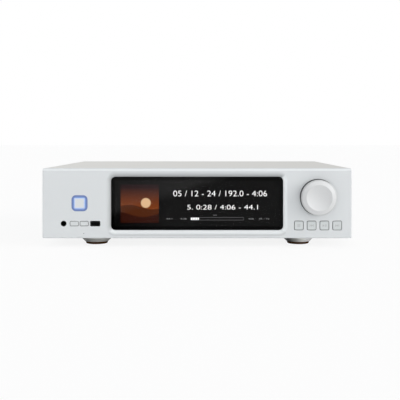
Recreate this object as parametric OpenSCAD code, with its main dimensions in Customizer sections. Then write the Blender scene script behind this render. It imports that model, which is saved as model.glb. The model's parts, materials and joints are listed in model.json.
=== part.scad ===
// Network music streamer: a full-width aluminium case with a display, a volume knob and push keys.
// Millimetres. +Z is up, the front faces -Y, the foot pads stand on z = 0.

/* [Case] */
// Width of the front panel
front_w = 430; // [424:1:480]
// Height of the front panel
front_h = 97; // [95:0.5:115]
// Depth from the front face to the outer face of the rear panel
case_d = 353; // [340:1:420]
// Thickness of the front panel
front_t = 14; // [14:0.5:18]
// Thickness of each side panel
side_t = 12; // [11:0.5:14]
// Setback of each side panel from the end of the front panel
side_inset = 1; // [0.5:0.1:2]
// Thickness of the top cover
cover_t = 3; // [2.5:0.1:4]
// Width of the ledge that carries the top cover
ledge_w = 7; // [6.6:0.1:8]
// Thickness of the base plate
base_t = 3; // [2.5:0.1:4]
// Thickness of the rear panel
rear_t = 3; // [2.5:0.1:4]
// Chamfer along the top of the front panel
top_chamfer = 3.1; // [2:0.1:4]
// Corner radius of the front panel
corner_r = 1.5; // [1:0.1:4]
// Chamfer of the other outer edges
edge_chamfer = 1; // [0.4:0.1:1.5]
// Thickness of the front subframe sheet
sheet_t = 1.5; // [1.2:0.1:2]

/* [Display] */
// Distance of the display window from each end of the front panel
window_side = 95; // [93:0.5:107]
// Height of the display window
window_h = 74.5; // [66:0.5:78]
// Drop of the display window below the middle of the front panel
window_drop = 0.4; // [0:0.1:1]
// Corner radius of the display window
window_r = 6.2; // [3:0.1:8]
// Width of the rounded bevel round the window
bevel_w = 5; // [3:0.1:6]
// Thickness of the lip in front of the glass
lip_t = 1; // [0.8:0.1:1.5]
// Overlap of the glass behind the lip
glass_lip = 4; // [3:0.1:4.5]
// Thickness of the display glass
glass_t = 2; // [1.5:0.1:2.5]
// Thickness of the gasket
gasket_t = 0.6; // [0.4:0.1:1]
// Thickness of the display module
lcd_t = 4.8; // [4:0.1:5.2]

/* [Right controls] */
// Distance of the knob axis from the right end of the front panel
control_edge = 47; // [46:0.5:50]
// Height of the knob axis on the front panel
knob_z = 57; // [56:0.5:62]
// Diameter of the knob
knob_d = 49; // [44:0.5:54]
// Reach of the knob in front of the panel
knob_len = 15; // [13:0.5:22]
// Gap between the knob and its recess
knob_gap = 0.8; // [0.6:0.1:2]
// Depth of the knob recess
recess_depth = 3; // [2.6:0.1:3.4]
// Diameter of the dish in the knob face
dish_d = 35.5; // [28:0.5:40]
// Depth of the dish
dish_depth = 3.6; // [1:0.1:4.5]
// Fall of the knob's sloping rim
rim_fall = 2.5; // [1:0.1:4]
// Side of a square key
key_size = 11.9; // [11:0.1:13]
// Spacing of the square keys
key_pitch = 17.75; // [17.5:0.05:18.2]
// Height of the square keys on the front panel
key_z = 17.7; // [16:0.1:19]
// Gap round each key
key_gap = 0.7; // [0.4:0.05:0.8]
// Corner radius of the square keys
key_r = 1.7; // [1:0.1:2.5]

/* [Left controls] */
// Distance of the power button from the left end of the front panel
power_edge = 51.6; // [49:0.1:54]
// Height of the power button on the front panel
power_z = 48.6; // [46:0.1:70]
// Side of the power button
power_size = 16; // [14:0.1:17]
// Width of the lit ring
ring_w = 2.8; // [2:0.1:3.2]
// Height of the socket row on the front panel
row_z = 20.3; // [17:0.1:22]
// Distance of the headphone socket from the left end
jack_edge = 29.5; // [26:0.1:31]
// Diameter of the headphone socket's nose
jack_d = 7.7; // [7.3:0.1:8.6]
// Bore of the headphone socket
jack_bore_d = 6.4; // [6.4:0.01:6.45]
// Distance of the first select key from the left end
select_edge_1 = 44.2; // [43.6:0.1:44.6]
// Distance of the second select key from the left end
select_edge_2 = 58.1; // [57.8:0.1:58.6]
// Width of a select key
select_w = 11.1; // [10:0.1:11.4]
// Height of a select key
select_h = 6; // [5:0.1:7]
// Distance of the USB socket from the left end
usb_edge = 73.4; // [72.8:0.1:74]
// Width of the USB bezel
bezel_w = 13.8; // [13.8:0.1:14.4]
// Height of the USB bezel
bezel_h = 7.4; // [6.6:0.1:8.4]
// Diameter of the pinhole
pinhole_d = 1.2; // [0.8:0.1:1.6]
// Distance of the pinhole from the left end
pinhole_edge = 57.5; // [50:0.5:65]
// Height of the pinhole on the front panel
pinhole_z = 6.8; // [5.5:0.1:8]

/* [Key mechanics] */
// Thickness of the front wall in front of the controls
wall_t = 6; // [5.6:0.1:6.6]
// Height of the bosses behind that wall
boss_h = 5.4; // [5.3:0.1:5.8]
// Thickness of a circuit board
board_t = 1.6; // [1:0.1:1.6]

/* [Feet] */
// Height of the feet with their pads
foot_h = 12.5; // [9:0.5:20]
// Distance of a foot's centre from the end of the front panel
foot_edge = 69.5; // [50:0.5:95]
// Distance of a foot's centre from the front or rear face
foot_setback = 45; // [35:1:60]
// Top diameter of a foot
foot_top_d = 46; // [38:0.5:52]
// Lower diameter of a foot
foot_low_d = 33.5; // [32:0.5:37]
// Height of the upright rim of a foot
foot_rim = 3.2; // [1.5:0.1:4]
// Diameter of a foot pad
pad_d = 31.5; // [24:0.5:31.5]
// Visible height of a foot pad
pad_h = 3.4; // [2:0.1:4]

/* [Rear sockets] */
// Height of the mains inlet, mains switch and audio sockets on the rear panel
socket_z = 47; // [44:0.5:60]
// Distance of the mains inlet from the inner face of the side panel
inlet_edge = 42; // [36:1:46]
// Distance of the mains switch from the inner face of the side panel
switch_edge = 92; // [86:1:110]
// Reach of an audio socket behind the rear panel
rca_len = 10; // [9:0.1:12]
// Diameter of an audio socket's barrel
rca_d = 8.3; // [8.2:0.05:8.4]
// Spacing of the left and right audio sockets
rca_pitch = 22; // [18:0.5:30]

/* [Inside] */
// Height of the board standoffs
standoff_h = 8; // [6:0.5:12]
// Side of the power board
power_board_w = 120; // [110:1:124]
// Width of the main board
main_board_w = 100; // [96:1:110]
// Depth of the main board
main_board_d = 150; // [120:1:160]
// Width of the audio board
audio_board_w = 125; // [110:1:128]
// Depth of the audio board
audio_board_d = 140; // [110:1:150]
// Diameter of the transformer
transformer_d = 96; // [80:1:104]
// Height of the transformer
transformer_h = 42; // [30:1:60]

/* [Hidden] */
$fn = 64;
over = 1;
fit = 0.3;
close_fit = 0.1;
bush_fit = 0.05;

// Bodies of the case
inner_x = front_w / 2 - side_inset - side_t;
case_x = front_w / 2 - side_inset;
cover_x = inner_x + ledge_w - close_fit;
rear_in = case_d - rear_t;
total_d = knob_len + case_d + rca_len;
y_front = knob_len - total_d / 2;
cover_z = front_h - cover_t;
ledge_x = inner_x + ledge_w / 2;
side_x = inner_x + side_t / 2;
screw_end = 25;
side_screw_y = [front_t + screw_end, (front_t + rear_in) / 2, rear_in - screw_end];

// Screws
screw_r = 1.5;
head_r = 2.8;
head_h = 1.8;
socket_r = 1.15;
socket_depth = 1.1;
cone_h = head_r - screw_r;
case_screw_len = 9;
front_screw_len = 8;
tapped_extra = 1;
rear_screw_end = 15;
rear_screw_z = [rear_screw_end, front_h - rear_screw_end];

// Window and display stack, as depths behind the front face
window_w = front_w - 2 * window_side;
bevel_start = 12;
bevel_end = 52;
bevel_r = bevel_w / (sin(bevel_end) - sin(bevel_start));
bevel_depth = bevel_r * (cos(bevel_start) - cos(bevel_end));
glass_y = bevel_depth + lip_t;
gasket_y = glass_y + glass_t;
lcd_y = gasket_y + gasket_t;
bracket_y = lcd_y + lcd_t;
glass_w = window_w + 2 * glass_lip;
glass_h = window_h + 2 * glass_lip;
gasket_rim = 9;
lcd_margin = 5;
lcd_w = glass_w - 2 * lcd_margin;
lcd_h = glass_h - 2 * lcd_margin;
bracket_rim = 12;
window_z = front_h / 2 - window_drop;
cable_w = 24;
cable_t = 0.4;
cable_z = 30;
cable_slot_w = 32;
cable_slot_h = 8;
cable_drop = 12;
cable_tail = 8;

// Control pockets
key_count = 4;
key_flange = 0.9;
pocket_margin = 1.1;
pocket_w = (key_count - 1) * key_pitch + key_size + 2 * (key_gap + key_flange + pocket_margin);
pocket_rim = 4;
control_x = front_w / 2 - control_edge;
board_gap = 0.8;
boss_r = 3;
boss_inset = 5.2;
boss_low = 36;
boss_top = 11;
boss_z = [boss_low, front_h - boss_top];
boss_x = pocket_w / 2 - boss_inset;
board_screw_r = 1.25;
board_head_r = 2.4;
board_head_h = 1.4;
board_screw_len = 6;
board_y = wall_t + boss_h;
rib_x = (window_w / 2 + glass_lip + fit + control_x - pocket_w / 2) / 2;
rib_screw_end = 14;
rib_screw_z = [rib_screw_end, front_h / 2, front_h - rib_screw_end];

// Keys
key_proud = 0.4;
cap_chamfer = 0.4;
flange_t = 1.2;
ring_flange_t = 1;
stem_r = 1.4;
stem_bore_r = 1.75;
switch_size = 6.2;
switch_h = 2.4;
switch_y = board_y - switch_h;
stem_in = 0.9;
switch_bore = 2;
stem_y = switch_y + stem_in;
select_r = 1.2;
select_flange = 0.5;
select_gap = 0.6;
power_gap = 0.3;
power_r = 2.9;
ring_size = power_size + 2 * (power_gap + ring_w);
ring_r = power_r + power_gap + ring_w;
ring_flange = 1.5;
power_flange = 1.2;
power_x = power_edge - front_w / 2;
jack_x = jack_edge - front_w / 2;
select_x = [select_edge_1 - front_w / 2, select_edge_2 - front_w / 2];
usb_x = usb_edge - front_w / 2;
pinhole_x = pinhole_edge - front_w / 2;

// Knob and encoder
knob_clear = 0.6;
knob_edge = 0.5;
knob_cavity_r = 9.5;
knob_cavity_y = 3.5;
knob_wall = 1.5;
knob_web = dish_depth + knob_wall;
dish_r = dish_d / 2;
dish_land = 0.3;
dish_ball = (dish_r * dish_r + dish_depth * dish_depth) / (2 * dish_depth);
knob_back = recess_depth - knob_clear;
shaft_r = 3;
shaft_end = 2.3;
bush_r = 4.5;
bush_front = 1.5;
encoder_size = 13;
nut_r = 6.6;
nut_h = 2.2;
washer_r = 7.2;
washer_t = 0.6;
grub_r = 1.5;
grub_len = 8;
grub_y = (knob_cavity_y + knob_len - knob_web) / 2;

// Sockets
jack_body = 14;
jack_body_end = 34;
jack_bore_end = 32;
jack_proud = 0.2;
usb_in_w = 12.5;
usb_in_h = 5.12;
usb_wall = 0.3;
usb_w = usb_in_w + 2 * usb_wall;
usb_h = usb_in_h + 2 * usb_wall;
usb_setback = 1.2;
usb_block = 2;
usb_mouth = 3.6;
usb_len = 14;
tongue_w = 11.1;
tongue_t = 1.84;
tongue_up = 0.9;
bezel_r = 1.4;
bezel_flange = 0.6;
bezel_flange_t = 1;
inlet_w = 27;
inlet_h = 20;
inlet_depth = 18;
inlet_flange_w = 50;
inlet_flange_h = 24;
inlet_flange_t = 2.5;
inlet_r = 2;
inlet_mouth_w = 24.4;
inlet_mouth_h = 16.8;
inlet_cut = 4;
inlet_floor = 15;
inlet_screw = 20;
blade_w = 2;
blade_h = 4;
blade_len = 12;
blade_x = 7;
blade_up = 2;
frame_w = 15;
frame_h = 21;
frame_r = 1.5;
frame_t = 2;
frame_body_w = 12.8;
frame_body_h = 19;
frame_depth = 14;
frame_in_w = 11;
frame_in_h = 17.2;
frame_floor = 12;
pivot_y = 2.5;
pivot_r = 1.5;
pivot_reach = 6.1;
rocker_w = 10.4;
rocker_half = 7.5;
rocker_face = 5;
rocker_tilt = 11;
rocker_back = 3;
rocker_heel = 6;
rocker_heel_half = 4;
rca_wall = 0.85;
rca_washer_r = 6.5;
rca_washer_t = 1.5;
rca_base = 0.8;
rca_stud_r = 2;
rca_stud_end = 14;
rca_bush_r = 3.5;
rca_bush_rim = 1.2;
rca_core_back = 0.7;
rca_hole_r = 1.6;
rca_hole_depth = 5.5;
rca_nut_r = 4.6;
rca_nut_h = 2.5;
rca_gap = 40;
rca_first = -40;
rca_x = [rca_first, rca_first + rca_pitch, rca_first + rca_pitch + rca_gap];
lan_w = 16;
lan_h = 13.5;
lan_depth = 21;
lan_proud = 0.3;
lan_mouth_w = 11.8;
lan_mouth_h = 8.4;
lan_mouth_depth = 14;
lan_notch_w = 6;
lan_notch_h = 2;
lan_up = 0.6;
lan_x = -30;
rear_usb_x = [0, 24];

// Boards and what stands on them
standoff_r = 3;
standoff_inset = 6;
deck_z = base_t + standoff_h;
deck_top = deck_z + board_t;
rear_gap = 4;
side_gap = 7;
power_board_y = 39;
power_board_x = inner_x - side_gap - power_board_w / 2;
main_x = (audio_board_w - power_board_w) / 2;
audio_x = -(inner_x - side_gap - audio_board_w / 2);
main_board_y = rear_in - rear_gap - main_board_d;
audio_board_y = rear_in - rear_gap - audio_board_d;
transformer_x = power_board_x;
transformer_y = (power_board_y + power_board_w + case_d - foot_setback) / 2;
transformer_hole_r = 17;
transformer_round = 8;
clamp_r = 30;
clamp_t = 2;
clamp_bolt_r = 3;
clamp_head_r = 5;
clamp_head_h = 4;
capacitor_r = 11;
capacitor_h = 32;
capacitor_pitch = 28;
capacitor_count = 4;
sink_size = 50;
sink_base = 4;
sink_h = 22;
fin_t = 2;
fin_count = 9;
chip_h = 1.4;
chip_size = 14;
drive_w = 70;
drive_d = 100;
drive_h = 7;
drive_gap = 17;
drive_x = drive_gap + drive_w / 2 - inner_x;
drive_y = 52;
foot_x = front_w / 2 - foot_edge;
foot_screw_r = 2;
foot_head_r = 4;
foot_head_h = 2.2;
foot_screw_in = 5;
pad_round = 2;
pad_seat = 0.8;
vent_w = 3;
vent_len = 34;
vent_pitch = 8;
vent_count = 9;
flange_depth = 14;
subframe_rim = 5;
subframe_screw_y = 8;

silver = [0.85, 0.86, 0.87];
steel = [0.68, 0.69, 0.7];
black = [0.06, 0.06, 0.07];
dark_glass = [0.05, 0.05, 0.06];
brown = [0.14, 0.09, 0.06];
blue = [0.4, 0.5, 0.85];
green = [0.08, 0.3, 0.16];
gold = [0.83, 0.66, 0.3];
white = [0.9, 0.9, 0.88];
copper = [0.55, 0.3, 0.16];

// Places a child in the front panel's own axes: y is depth, z is height above its lower edge
module at_front(x = 0, z = 0) {
    translate([x, y_front, foot_h])
        translate([0, 0, z])
            children();
}

// Places a child on the outer face of the rear panel, with y pointing away from the case
module at_rear(x = 0, z = 0) {
    translate([0, case_d, 0])
        at_front(x, z)
            children();
}

// Extrudes a flat outline drawn in x and z between two depths
module slab(from, to) {
    translate([0, to, 0])
        rotate([90, 0, 0])
            linear_extrude(to - from)
                children();
}

// Round bar along the depth
module rod(from, to, r) {
    translate([0, from, 0])
        rotate([-90, 0, 0])
            cylinder(h = to - from, r = r);
}

// Rectangle with round corners
module rounded(w, h, r) {
    square([w - 2 * r, h], center = true);
    square([w, h - 2 * r], center = true);
    for (sx = [-1, 1], sz = [-1, 1])
        translate([sx * (w / 2 - r), sz * (h / 2 - r)])
            circle(r);
}

// Outline drawn in depth and height, extruded along x about the middle
module along_x(w) {
    translate([-w / 2, 0, 0])
        rotate([90, 0, 90])
            linear_extrude(w)
                children();
}

// Round-cornered key cap with a chamfered front edge
module cap(w, h, r, c, from, to) {
    translate([0, from, 0]) {
        along_x(w - 2 * r)
            polygon([[0, c - h / 2], [0, h / 2 - c], [c, h / 2], [2 * c, h / 2], [2 * c, -h / 2],
                [c, -h / 2]]);
        translate([0, 0, r - h / 2])
            linear_extrude(h - 2 * r)
                polygon([[c - w / 2, 0], [w / 2 - c, 0], [w / 2, c], [w / 2, 2 * c], [-w / 2, 2 * c],
                    [-w / 2, c]]);
        for (sx = [-1, 1], sz = [-1, 1])
            translate([sx * (w / 2 - r), 0, sz * (h / 2 - r)])
                rotate([-90, 0, 0])
                    rotate_extrude()
                        polygon([[0, 0], [r - c, 0], [r, c], [r, 2 * c], [0, 2 * c]]);
    }
    slab(from + c, to)
        rounded(w, h, r);
}

// Countersunk screw along z, with its head's face on z = 0 and its shank below
module flat_screw(len) {
    difference() {
        union() {
            translate([0, 0, -cone_h])
                cylinder(h = cone_h, r1 = screw_r, r2 = head_r);
            translate([0, 0, -len])
                cylinder(h = len - cone_h / 2, r = screw_r);
        }
        translate([0, 0, -socket_depth])
            cylinder(h = socket_depth + over, r = socket_r, $fn = 6);
    }
}

// Room for a countersunk screw, head to tip
module flat_screw_room(len) {
    cone = cone_h + close_fit + over;
    translate([0, 0, -cone_h - close_fit])
        cylinder(h = cone, r1 = screw_r + close_fit, r2 = screw_r + close_fit + cone);
    translate([0, 0, -len - tapped_extra])
        cylinder(h = len, r = screw_r + close_fit);
}

// Pan-head screw along z, with its head standing on z = 0 and its shank below
module pan_screw(len, r, hr, hh) {
    difference() {
        union() {
            cylinder(h = hh, r = hr);
            translate([0, 0, -len])
                cylinder(h = len + hh / 2, r = r);
        }
        translate([0, 0, hh - socket_depth])
            cylinder(h = socket_depth + over, r = socket_r, $fn = 6);
    }
}

// Opening of the display window with its rounded bevel
module window_cut() {
    reach_w = window_w / 2;
    reach_h = window_h / 2;
    ring = bevel_r * sin(bevel_start);
    slab(-over, gasket_y)
        rounded(window_w, window_h, window_r);
    for (side = [0, 1])
        mirror([0, 0, side])
            along_x(window_w - 2 * window_r)
                difference() {
                    translate([-over, 0])
                        square([bevel_depth + over, reach_h + bevel_w]);
                    translate([bevel_r * cos(bevel_start), reach_h + bevel_w + ring])
                        circle(bevel_r);
                }
    for (side = [0, 1])
        mirror([side, 0, 0])
            translate([0, 0, window_r - reach_h])
                linear_extrude(window_h - 2 * window_r)
                    difference() {
                        translate([0, -over])
                            square([reach_w + bevel_w, bevel_depth + over]);
                        translate([reach_w + bevel_w + ring, bevel_r * cos(bevel_start)])
                            circle(bevel_r);
                    }
    for (sx = [-1, 1], sz = [-1, 1])
        translate([sx * (reach_w - window_r), 0, sz * (reach_h - window_r)])
            rotate([-90, 0, 0])
                rotate_extrude()
                    difference() {
                        translate([0, -over])
                            square([window_r + bevel_w, bevel_depth + over]);
                        translate([window_r + bevel_w + ring, bevel_r * cos(bevel_start)])
                            circle(bevel_r);
                    }
}

// Block of the front panel with its chamfered edges and round corners
module front_block() {
    intersection() {
        along_x(front_w)
            polygon([[edge_chamfer, 0], [front_t, 0], [front_t, front_h], [top_chamfer, front_h],
                [0, front_h - top_chamfer], [0, edge_chamfer]]);
        linear_extrude(front_h)
            polygon([[-front_w / 2, edge_chamfer], [edge_chamfer - front_w / 2, 0],
                [front_w / 2 - edge_chamfer, 0], [front_w / 2, edge_chamfer],
                [front_w / 2, front_t], [-front_w / 2, front_t]]);
        translate([0, 0, front_h / 2])
            slab(-over, front_t + over)
                rounded(front_w, front_h, corner_r);
    }
}

// Place of a square key along the panel, counted from the left
function key_x(i) = control_x + (i - (key_count - 1) / 2) * key_pitch;

// Children at each boss of the two control boards
module at_bosses() {
    for (side = [-1, 1], sx = [-1, 1], z = boss_z)
        translate([side * control_x + sx * boss_x, 0, z])
            children();
}

// Children at each screw between the subframe and the front panel
module at_rib_screws() {
    for (side = [-1, 1], z = rib_screw_z)
        translate([side * rib_x, front_t + sheet_t, z])
            rotate([-90, 0, 0])
                children();
}

// Children at each screw between the subframe and a side panel
module at_flange_screws() {
    for (side = [-1, 1], z = rear_screw_z)
        translate([side * (inner_x - sheet_t), front_t + subframe_screw_y, z])
            rotate([0, -side * 90, 0])
                children();
}

// Thick machined panel with every opening of the front
module front_panel() {
    color(silver)
        at_front()
            difference() {
                union() {
                    difference() {
                        front_block();
                        for (side = [-1, 1])
                            translate([side * control_x, 0, front_h / 2])
                                slab(wall_t, front_t + over)
                                    square([pocket_w, front_h - 2 * pocket_rim], center = true);
                    }
                    at_bosses()
                        rod(wall_t - over, board_y, boss_r);
                }
                at_bosses()
                    rod(board_y - board_screw_len + board_t, board_y + over, board_screw_r + close_fit);
                at_rib_screws()
                    translate([0, 0, -front_screw_len - tapped_extra])
                        cylinder(h = front_screw_len + tapped_extra + over, r = screw_r + close_fit);
                translate([0, 0, window_z]) {
                    window_cut();
                    slab(glass_y, front_t + over)
                        square([glass_w + 2 * fit, glass_h + 2 * fit], center = true);
                }
                translate([control_x, 0, knob_z]) {
                    rod(-over, recess_depth, knob_d / 2 + knob_gap);
                    rod(0, wall_t + over, bush_r + close_fit);
                }
                for (i = [0 : key_count - 1])
                    translate([key_x(i), 0, key_z])
                        slab(-over, wall_t + over)
                            rounded(key_size + 2 * key_gap, key_size + 2 * key_gap, key_r + key_gap);
                translate([power_x, 0, power_z])
                    slab(-over, wall_t + over)
                        rounded(ring_size + 2 * close_fit, ring_size + 2 * close_fit, ring_r + close_fit);
                for (x = select_x)
                    translate([x, 0, row_z])
                        slab(-over, wall_t + over)
                            rounded(select_w + 2 * select_gap, select_h + 2 * select_gap,
                                select_r + select_gap);
                translate([jack_x, 0, row_z])
                    rod(-over, wall_t + over, jack_d / 2 + close_fit);
                translate([usb_x, 0, row_z])
                    slab(-over, wall_t + over)
                        rounded(bezel_w + 2 * close_fit, bezel_h + 2 * close_fit, bezel_r + close_fit);
                translate([pinhole_x, 0, pinhole_z])
                    rod(-over, wall_t + over, pinhole_d / 2);
            }
}

// Folded sheet behind the front panel that ties it to the side panels
module front_subframe() {
    color(steel)
        at_front()
            difference() {
                union() {
                    translate([0, 0, base_t])
                        slab(front_t, front_t + sheet_t)
                            translate([-inner_x, 0])
                                square([2 * inner_x, cover_z - base_t - fit]);
                    for (side = [0, 1])
                        mirror([side, 0, 0])
                            translate([inner_x - sheet_t, front_t, base_t])
                                cube([sheet_t, flange_depth, cover_z - base_t - fit]);
                }
                for (side = [-1, 1])
                    translate([side * control_x, 0, front_h / 2])
                        slab(front_t - over, front_t + sheet_t + over)
                            square([pocket_w - 2 * board_gap - 2 * sheet_t,
                                front_h - 2 * (base_t + subframe_rim)], center = true);
                translate([main_x, 0, cable_z])
                    slab(front_t - over, front_t + sheet_t + over)
                        square([cable_slot_w, cable_slot_h], center = true);
                at_rib_screws()
                    translate([0, 0, -front_screw_len])
                        cylinder(h = front_screw_len + over, r = screw_r + close_fit);
                at_flange_screws()
                    translate([0, 0, -front_screw_len])
                        cylinder(h = front_screw_len + over, r = screw_r + close_fit);
            }
}

// Right side panel with the ledge for the top cover
module side_panel() {
    difference() {
        slab(front_t, rear_in)
            polygon([[inner_x, base_t], [case_x, base_t], [case_x, front_h - edge_chamfer],
                [case_x - edge_chamfer, front_h], [inner_x + ledge_w, front_h],
                [inner_x + ledge_w, cover_z], [inner_x, cover_z]]);
        for (y = side_screw_y)
            translate([ledge_x, y, front_h])
                flat_screw_room(case_screw_len);
        for (y = side_screw_y)
            translate([side_x, y, 0])
                rotate([180, 0, 0])
                    flat_screw_room(case_screw_len);
        for (z = rear_screw_z)
            translate([side_x, 0, z])
                rod(rear_in - case_screw_len, rear_in + over, screw_r + close_fit);
        at_flange_screws()
            translate([0, 0, -front_screw_len - tapped_extra])
                cylinder(h = front_screw_len + tapped_extra, r = screw_r + close_fit);
    }
}

// Side panel on the knob's side
module side_panel_right() {
    color(silver)
        at_front()
            side_panel();
}

// Side panel on the power button's side
module side_panel_left() {
    color(silver)
        at_front()
            mirror([1, 0, 0])
                side_panel();
}

// Flat cover between the side panels
module top_cover() {
    color(silver)
        at_front()
            difference() {
                translate([-cover_x, front_t, cover_z])
                    cube([2 * cover_x, rear_in - front_t, cover_t]);
                for (side = [-1, 1], y = side_screw_y)
                    translate([side * ledge_x, y, front_h])
                        flat_screw_room(case_screw_len);
            }
}

// Base plate with vents and foot holes
module base_plate() {
    color(silver)
        at_front()
            difference() {
                translate([-case_x, front_t, 0])
                    cube([2 * case_x, rear_in - front_t, base_t]);
                for (side = [-1, 1], y = side_screw_y)
                    translate([side * side_x, y, 0])
                        rotate([180, 0, 0])
                            flat_screw_room(case_screw_len);
                for (side = [-1, 1], y = [foot_setback, case_d - foot_setback])
                    translate([side * foot_x, y, -over])
                        cylinder(h = base_t + 2 * over, r = foot_screw_r + close_fit);
                for (i = [0 : vent_count - 1])
                    translate([(i - (vent_count - 1) / 2) * vent_pitch, case_d / 2 - vent_len, -over])
                        cube([vent_w, vent_len, base_t + 2 * over]);
            }
}

// Flat rear panel with the socket openings
module rear_panel() {
    color(silver)
        difference() {
            at_rear()
                slab(-rear_t, 0)
                    translate([-case_x, 0])
                        square([2 * case_x, front_h]);
            for (side = [-1, 1], z = rear_screw_z)
                at_rear(side * side_x, z)
                    rod(-rear_t - over, over, screw_r + close_fit);
            at_rear(inner_x - inlet_edge, socket_z) {
                slab(-rear_t - over, over)
                    rounded(inlet_w + 2 * close_fit, inlet_h + 2 * close_fit, inlet_r);
                for (side = [-1, 1])
                    translate([side * inlet_screw, 0, 0])
                        rod(-rear_t - over, over, screw_r + close_fit);
            }
            at_rear(inner_x - switch_edge, socket_z)
                slab(-rear_t - over, over)
                    square([frame_body_w + 2 * close_fit, frame_body_h + 2 * close_fit], center = true);
            for (x = rca_x)
                at_rear(audio_x + x, socket_z)
                    rod(-rear_t - over, over, rca_bush_r + close_fit);
            at_rear(main_x + lan_x, deck_top + lan_h / 2)
                slab(-rear_t - over, over)
                    square([lan_w + 2 * fit, lan_h + 2 * fit], center = true);
            for (x = rear_usb_x)
                at_rear(main_x + x, deck_top + usb_h / 2)
                    slab(-rear_t - over, over)
                        square([usb_w + 2 * fit, usb_h + 2 * fit], center = true);
        }
}

// Countersunk screws of the top cover
module top_cover_screws() {
    color(steel)
        at_front()
            for (side = [-1, 1], y = side_screw_y)
                translate([side * ledge_x, y, front_h - close_fit])
                    flat_screw(case_screw_len);
}

// Countersunk screws under the base plate
module base_plate_screws() {
    color(steel)
        at_front()
            for (side = [-1, 1], y = side_screw_y)
                translate([side * side_x, y, close_fit])
                    rotate([180, 0, 0])
                        flat_screw(case_screw_len);
}

// Pan-head screws of the rear panel and the mains inlet
module rear_panel_screws() {
    color(steel) {
        for (side = [-1, 1], z = rear_screw_z)
            at_rear(side * side_x, z)
                rotate([-90, 0, 0])
                    pan_screw(case_screw_len, screw_r, head_r, head_h);
        for (side = [-1, 1])
            at_rear(inner_x - inlet_edge + side * inlet_screw, socket_z)
                translate([0, inlet_flange_t, 0])
                    rotate([-90, 0, 0])
                        pan_screw(case_screw_len, screw_r, head_r, head_h);
    }
}

// Screws that hold the front panel and the side panels to the subframe
module front_panel_screws() {
    color(steel)
        at_front() {
            at_rib_screws()
                pan_screw(front_screw_len, screw_r, head_r, head_h);
            at_flange_screws()
                pan_screw(front_screw_len, screw_r, head_r, head_h);
        }
}

// Children at one foot, with z measured from the ground
module at_foot(side, y) {
    translate([side * foot_x, y_front + y, 0])
        children();
}

// Flared foot that narrows to the pad
module foot() {
    difference() {
        rotate_extrude()
            polygon([[0, pad_h], [foot_low_d / 2, pad_h], [foot_top_d / 2, foot_h - foot_rim],
                [foot_top_d / 2, foot_h], [0, foot_h]]);
        translate([0, 0, pad_h - over])
            cylinder(h = pad_seat + over, r = pad_d / 2 + close_fit);
        translate([0, 0, foot_h - foot_screw_in - tapped_extra])
            cylinder(h = foot_screw_in + tapped_extra + over, r = foot_screw_r + close_fit);
    }
}

// Foot under the power button
module foot_front_left() {
    color(silver)
        at_foot(-1, foot_setback)
            foot();
}

// Foot under the knob
module foot_front_right() {
    color(silver)
        at_foot(1, foot_setback)
            foot();
}

// Rear foot on the power button's side
module foot_rear_left() {
    color(silver)
        at_foot(-1, case_d - foot_setback)
            foot();
}

// Rear foot on the knob's side
module foot_rear_right() {
    color(silver)
        at_foot(1, case_d - foot_setback)
            foot();
}

// Dark pads set into the feet
module foot_pads() {
    color(brown)
        for (side = [-1, 1], y = [foot_setback, case_d - foot_setback])
            at_foot(side, y)
                rotate_extrude() {
                    square([pad_d / 2 - pad_round, pad_h + pad_seat]);
                    translate([0, pad_round])
                        square([pad_d / 2, pad_h + pad_seat - pad_round]);
                    translate([pad_d / 2 - pad_round, pad_round])
                        circle(pad_round);
                }
}

// Screws from inside the case into the feet
module foot_screws() {
    color(steel)
        for (side = [-1, 1], y = [foot_setback, case_d - foot_setback])
            at_foot(side, y)
                translate([0, 0, foot_h + base_t])
                    pan_screw(base_t + foot_screw_in, foot_screw_r, foot_head_r, foot_head_h);
}

// Dark glass behind the window
module display_glass() {
    color(dark_glass)
        at_front(0, window_z)
            slab(glass_y, gasket_y)
                square([glass_w, glass_h], center = true);
}

// Foam frame between glass and display module
module display_gasket() {
    color(black)
        at_front(0, window_z)
            slab(gasket_y, lcd_y)
                difference() {
                    square([glass_w, glass_h], center = true);
                    square([glass_w - 2 * gasket_rim, glass_h - 2 * gasket_rim], center = true);
                }
}

// Display module
module lcd_module() {
    color(black)
        at_front(0, window_z)
            slab(lcd_y, bracket_y)
                square([lcd_w, lcd_h], center = true);
}

// Frame that clamps the display module against the gasket
module display_bracket() {
    color(steel)
        at_front(0, window_z)
            slab(bracket_y, front_t)
                difference() {
                    square([glass_w, glass_h], center = true);
                    square([lcd_w - 2 * bracket_rim, lcd_h - 2 * bracket_rim], center = true);
                }
}

// Flat cable from the display module to the main board
module display_cable() {
    drop_y = front_t + sheet_t + cable_drop;
    color(white)
        at_front(main_x, 0)
            along_x(cable_w) {
                translate([bracket_y, cable_z])
                    square([drop_y - bracket_y, cable_t]);
                translate([drop_y - cable_t, base_t])
                    square([cable_t, cable_z + cable_t - base_t]);
                translate([drop_y - cable_t, base_t])
                    square([main_board_y - drop_y + cable_t, cable_t]);
                translate([main_board_y - cable_t, base_t])
                    square([cable_t, deck_top + cable_t - base_t]);
                translate([main_board_y - cable_t, deck_top])
                    square([cable_tail, cable_t]);
            }
}

// Turned knob with a sloping rim, a narrow land and a dish
module volume_knob() {
    color(silver)
        at_front(control_x, knob_z)
            difference() {
                rotate([90, 0, 0])
                    rotate_extrude()
                        difference() {
                            polygon([[0, -knob_back], [knob_d / 2 - knob_edge, -knob_back],
                                [knob_d / 2, knob_edge - knob_back],
                                [knob_d / 2, knob_len - rim_fall], [dish_r + dish_land, knob_len],
                                [0, knob_len]]);
                            translate([0, knob_len - dish_depth + dish_ball])
                                circle(dish_ball, $fn = 256);
                        }
                rod(-knob_cavity_y, knob_back + over, knob_cavity_r);
                rod(knob_web - knob_len, 0, shaft_r + bush_fit);
                translate([0, -grub_y, -knob_d / 2 - over])
                    cylinder(h = knob_d / 2 + over, r = grub_r + close_fit);
            }
}

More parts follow.
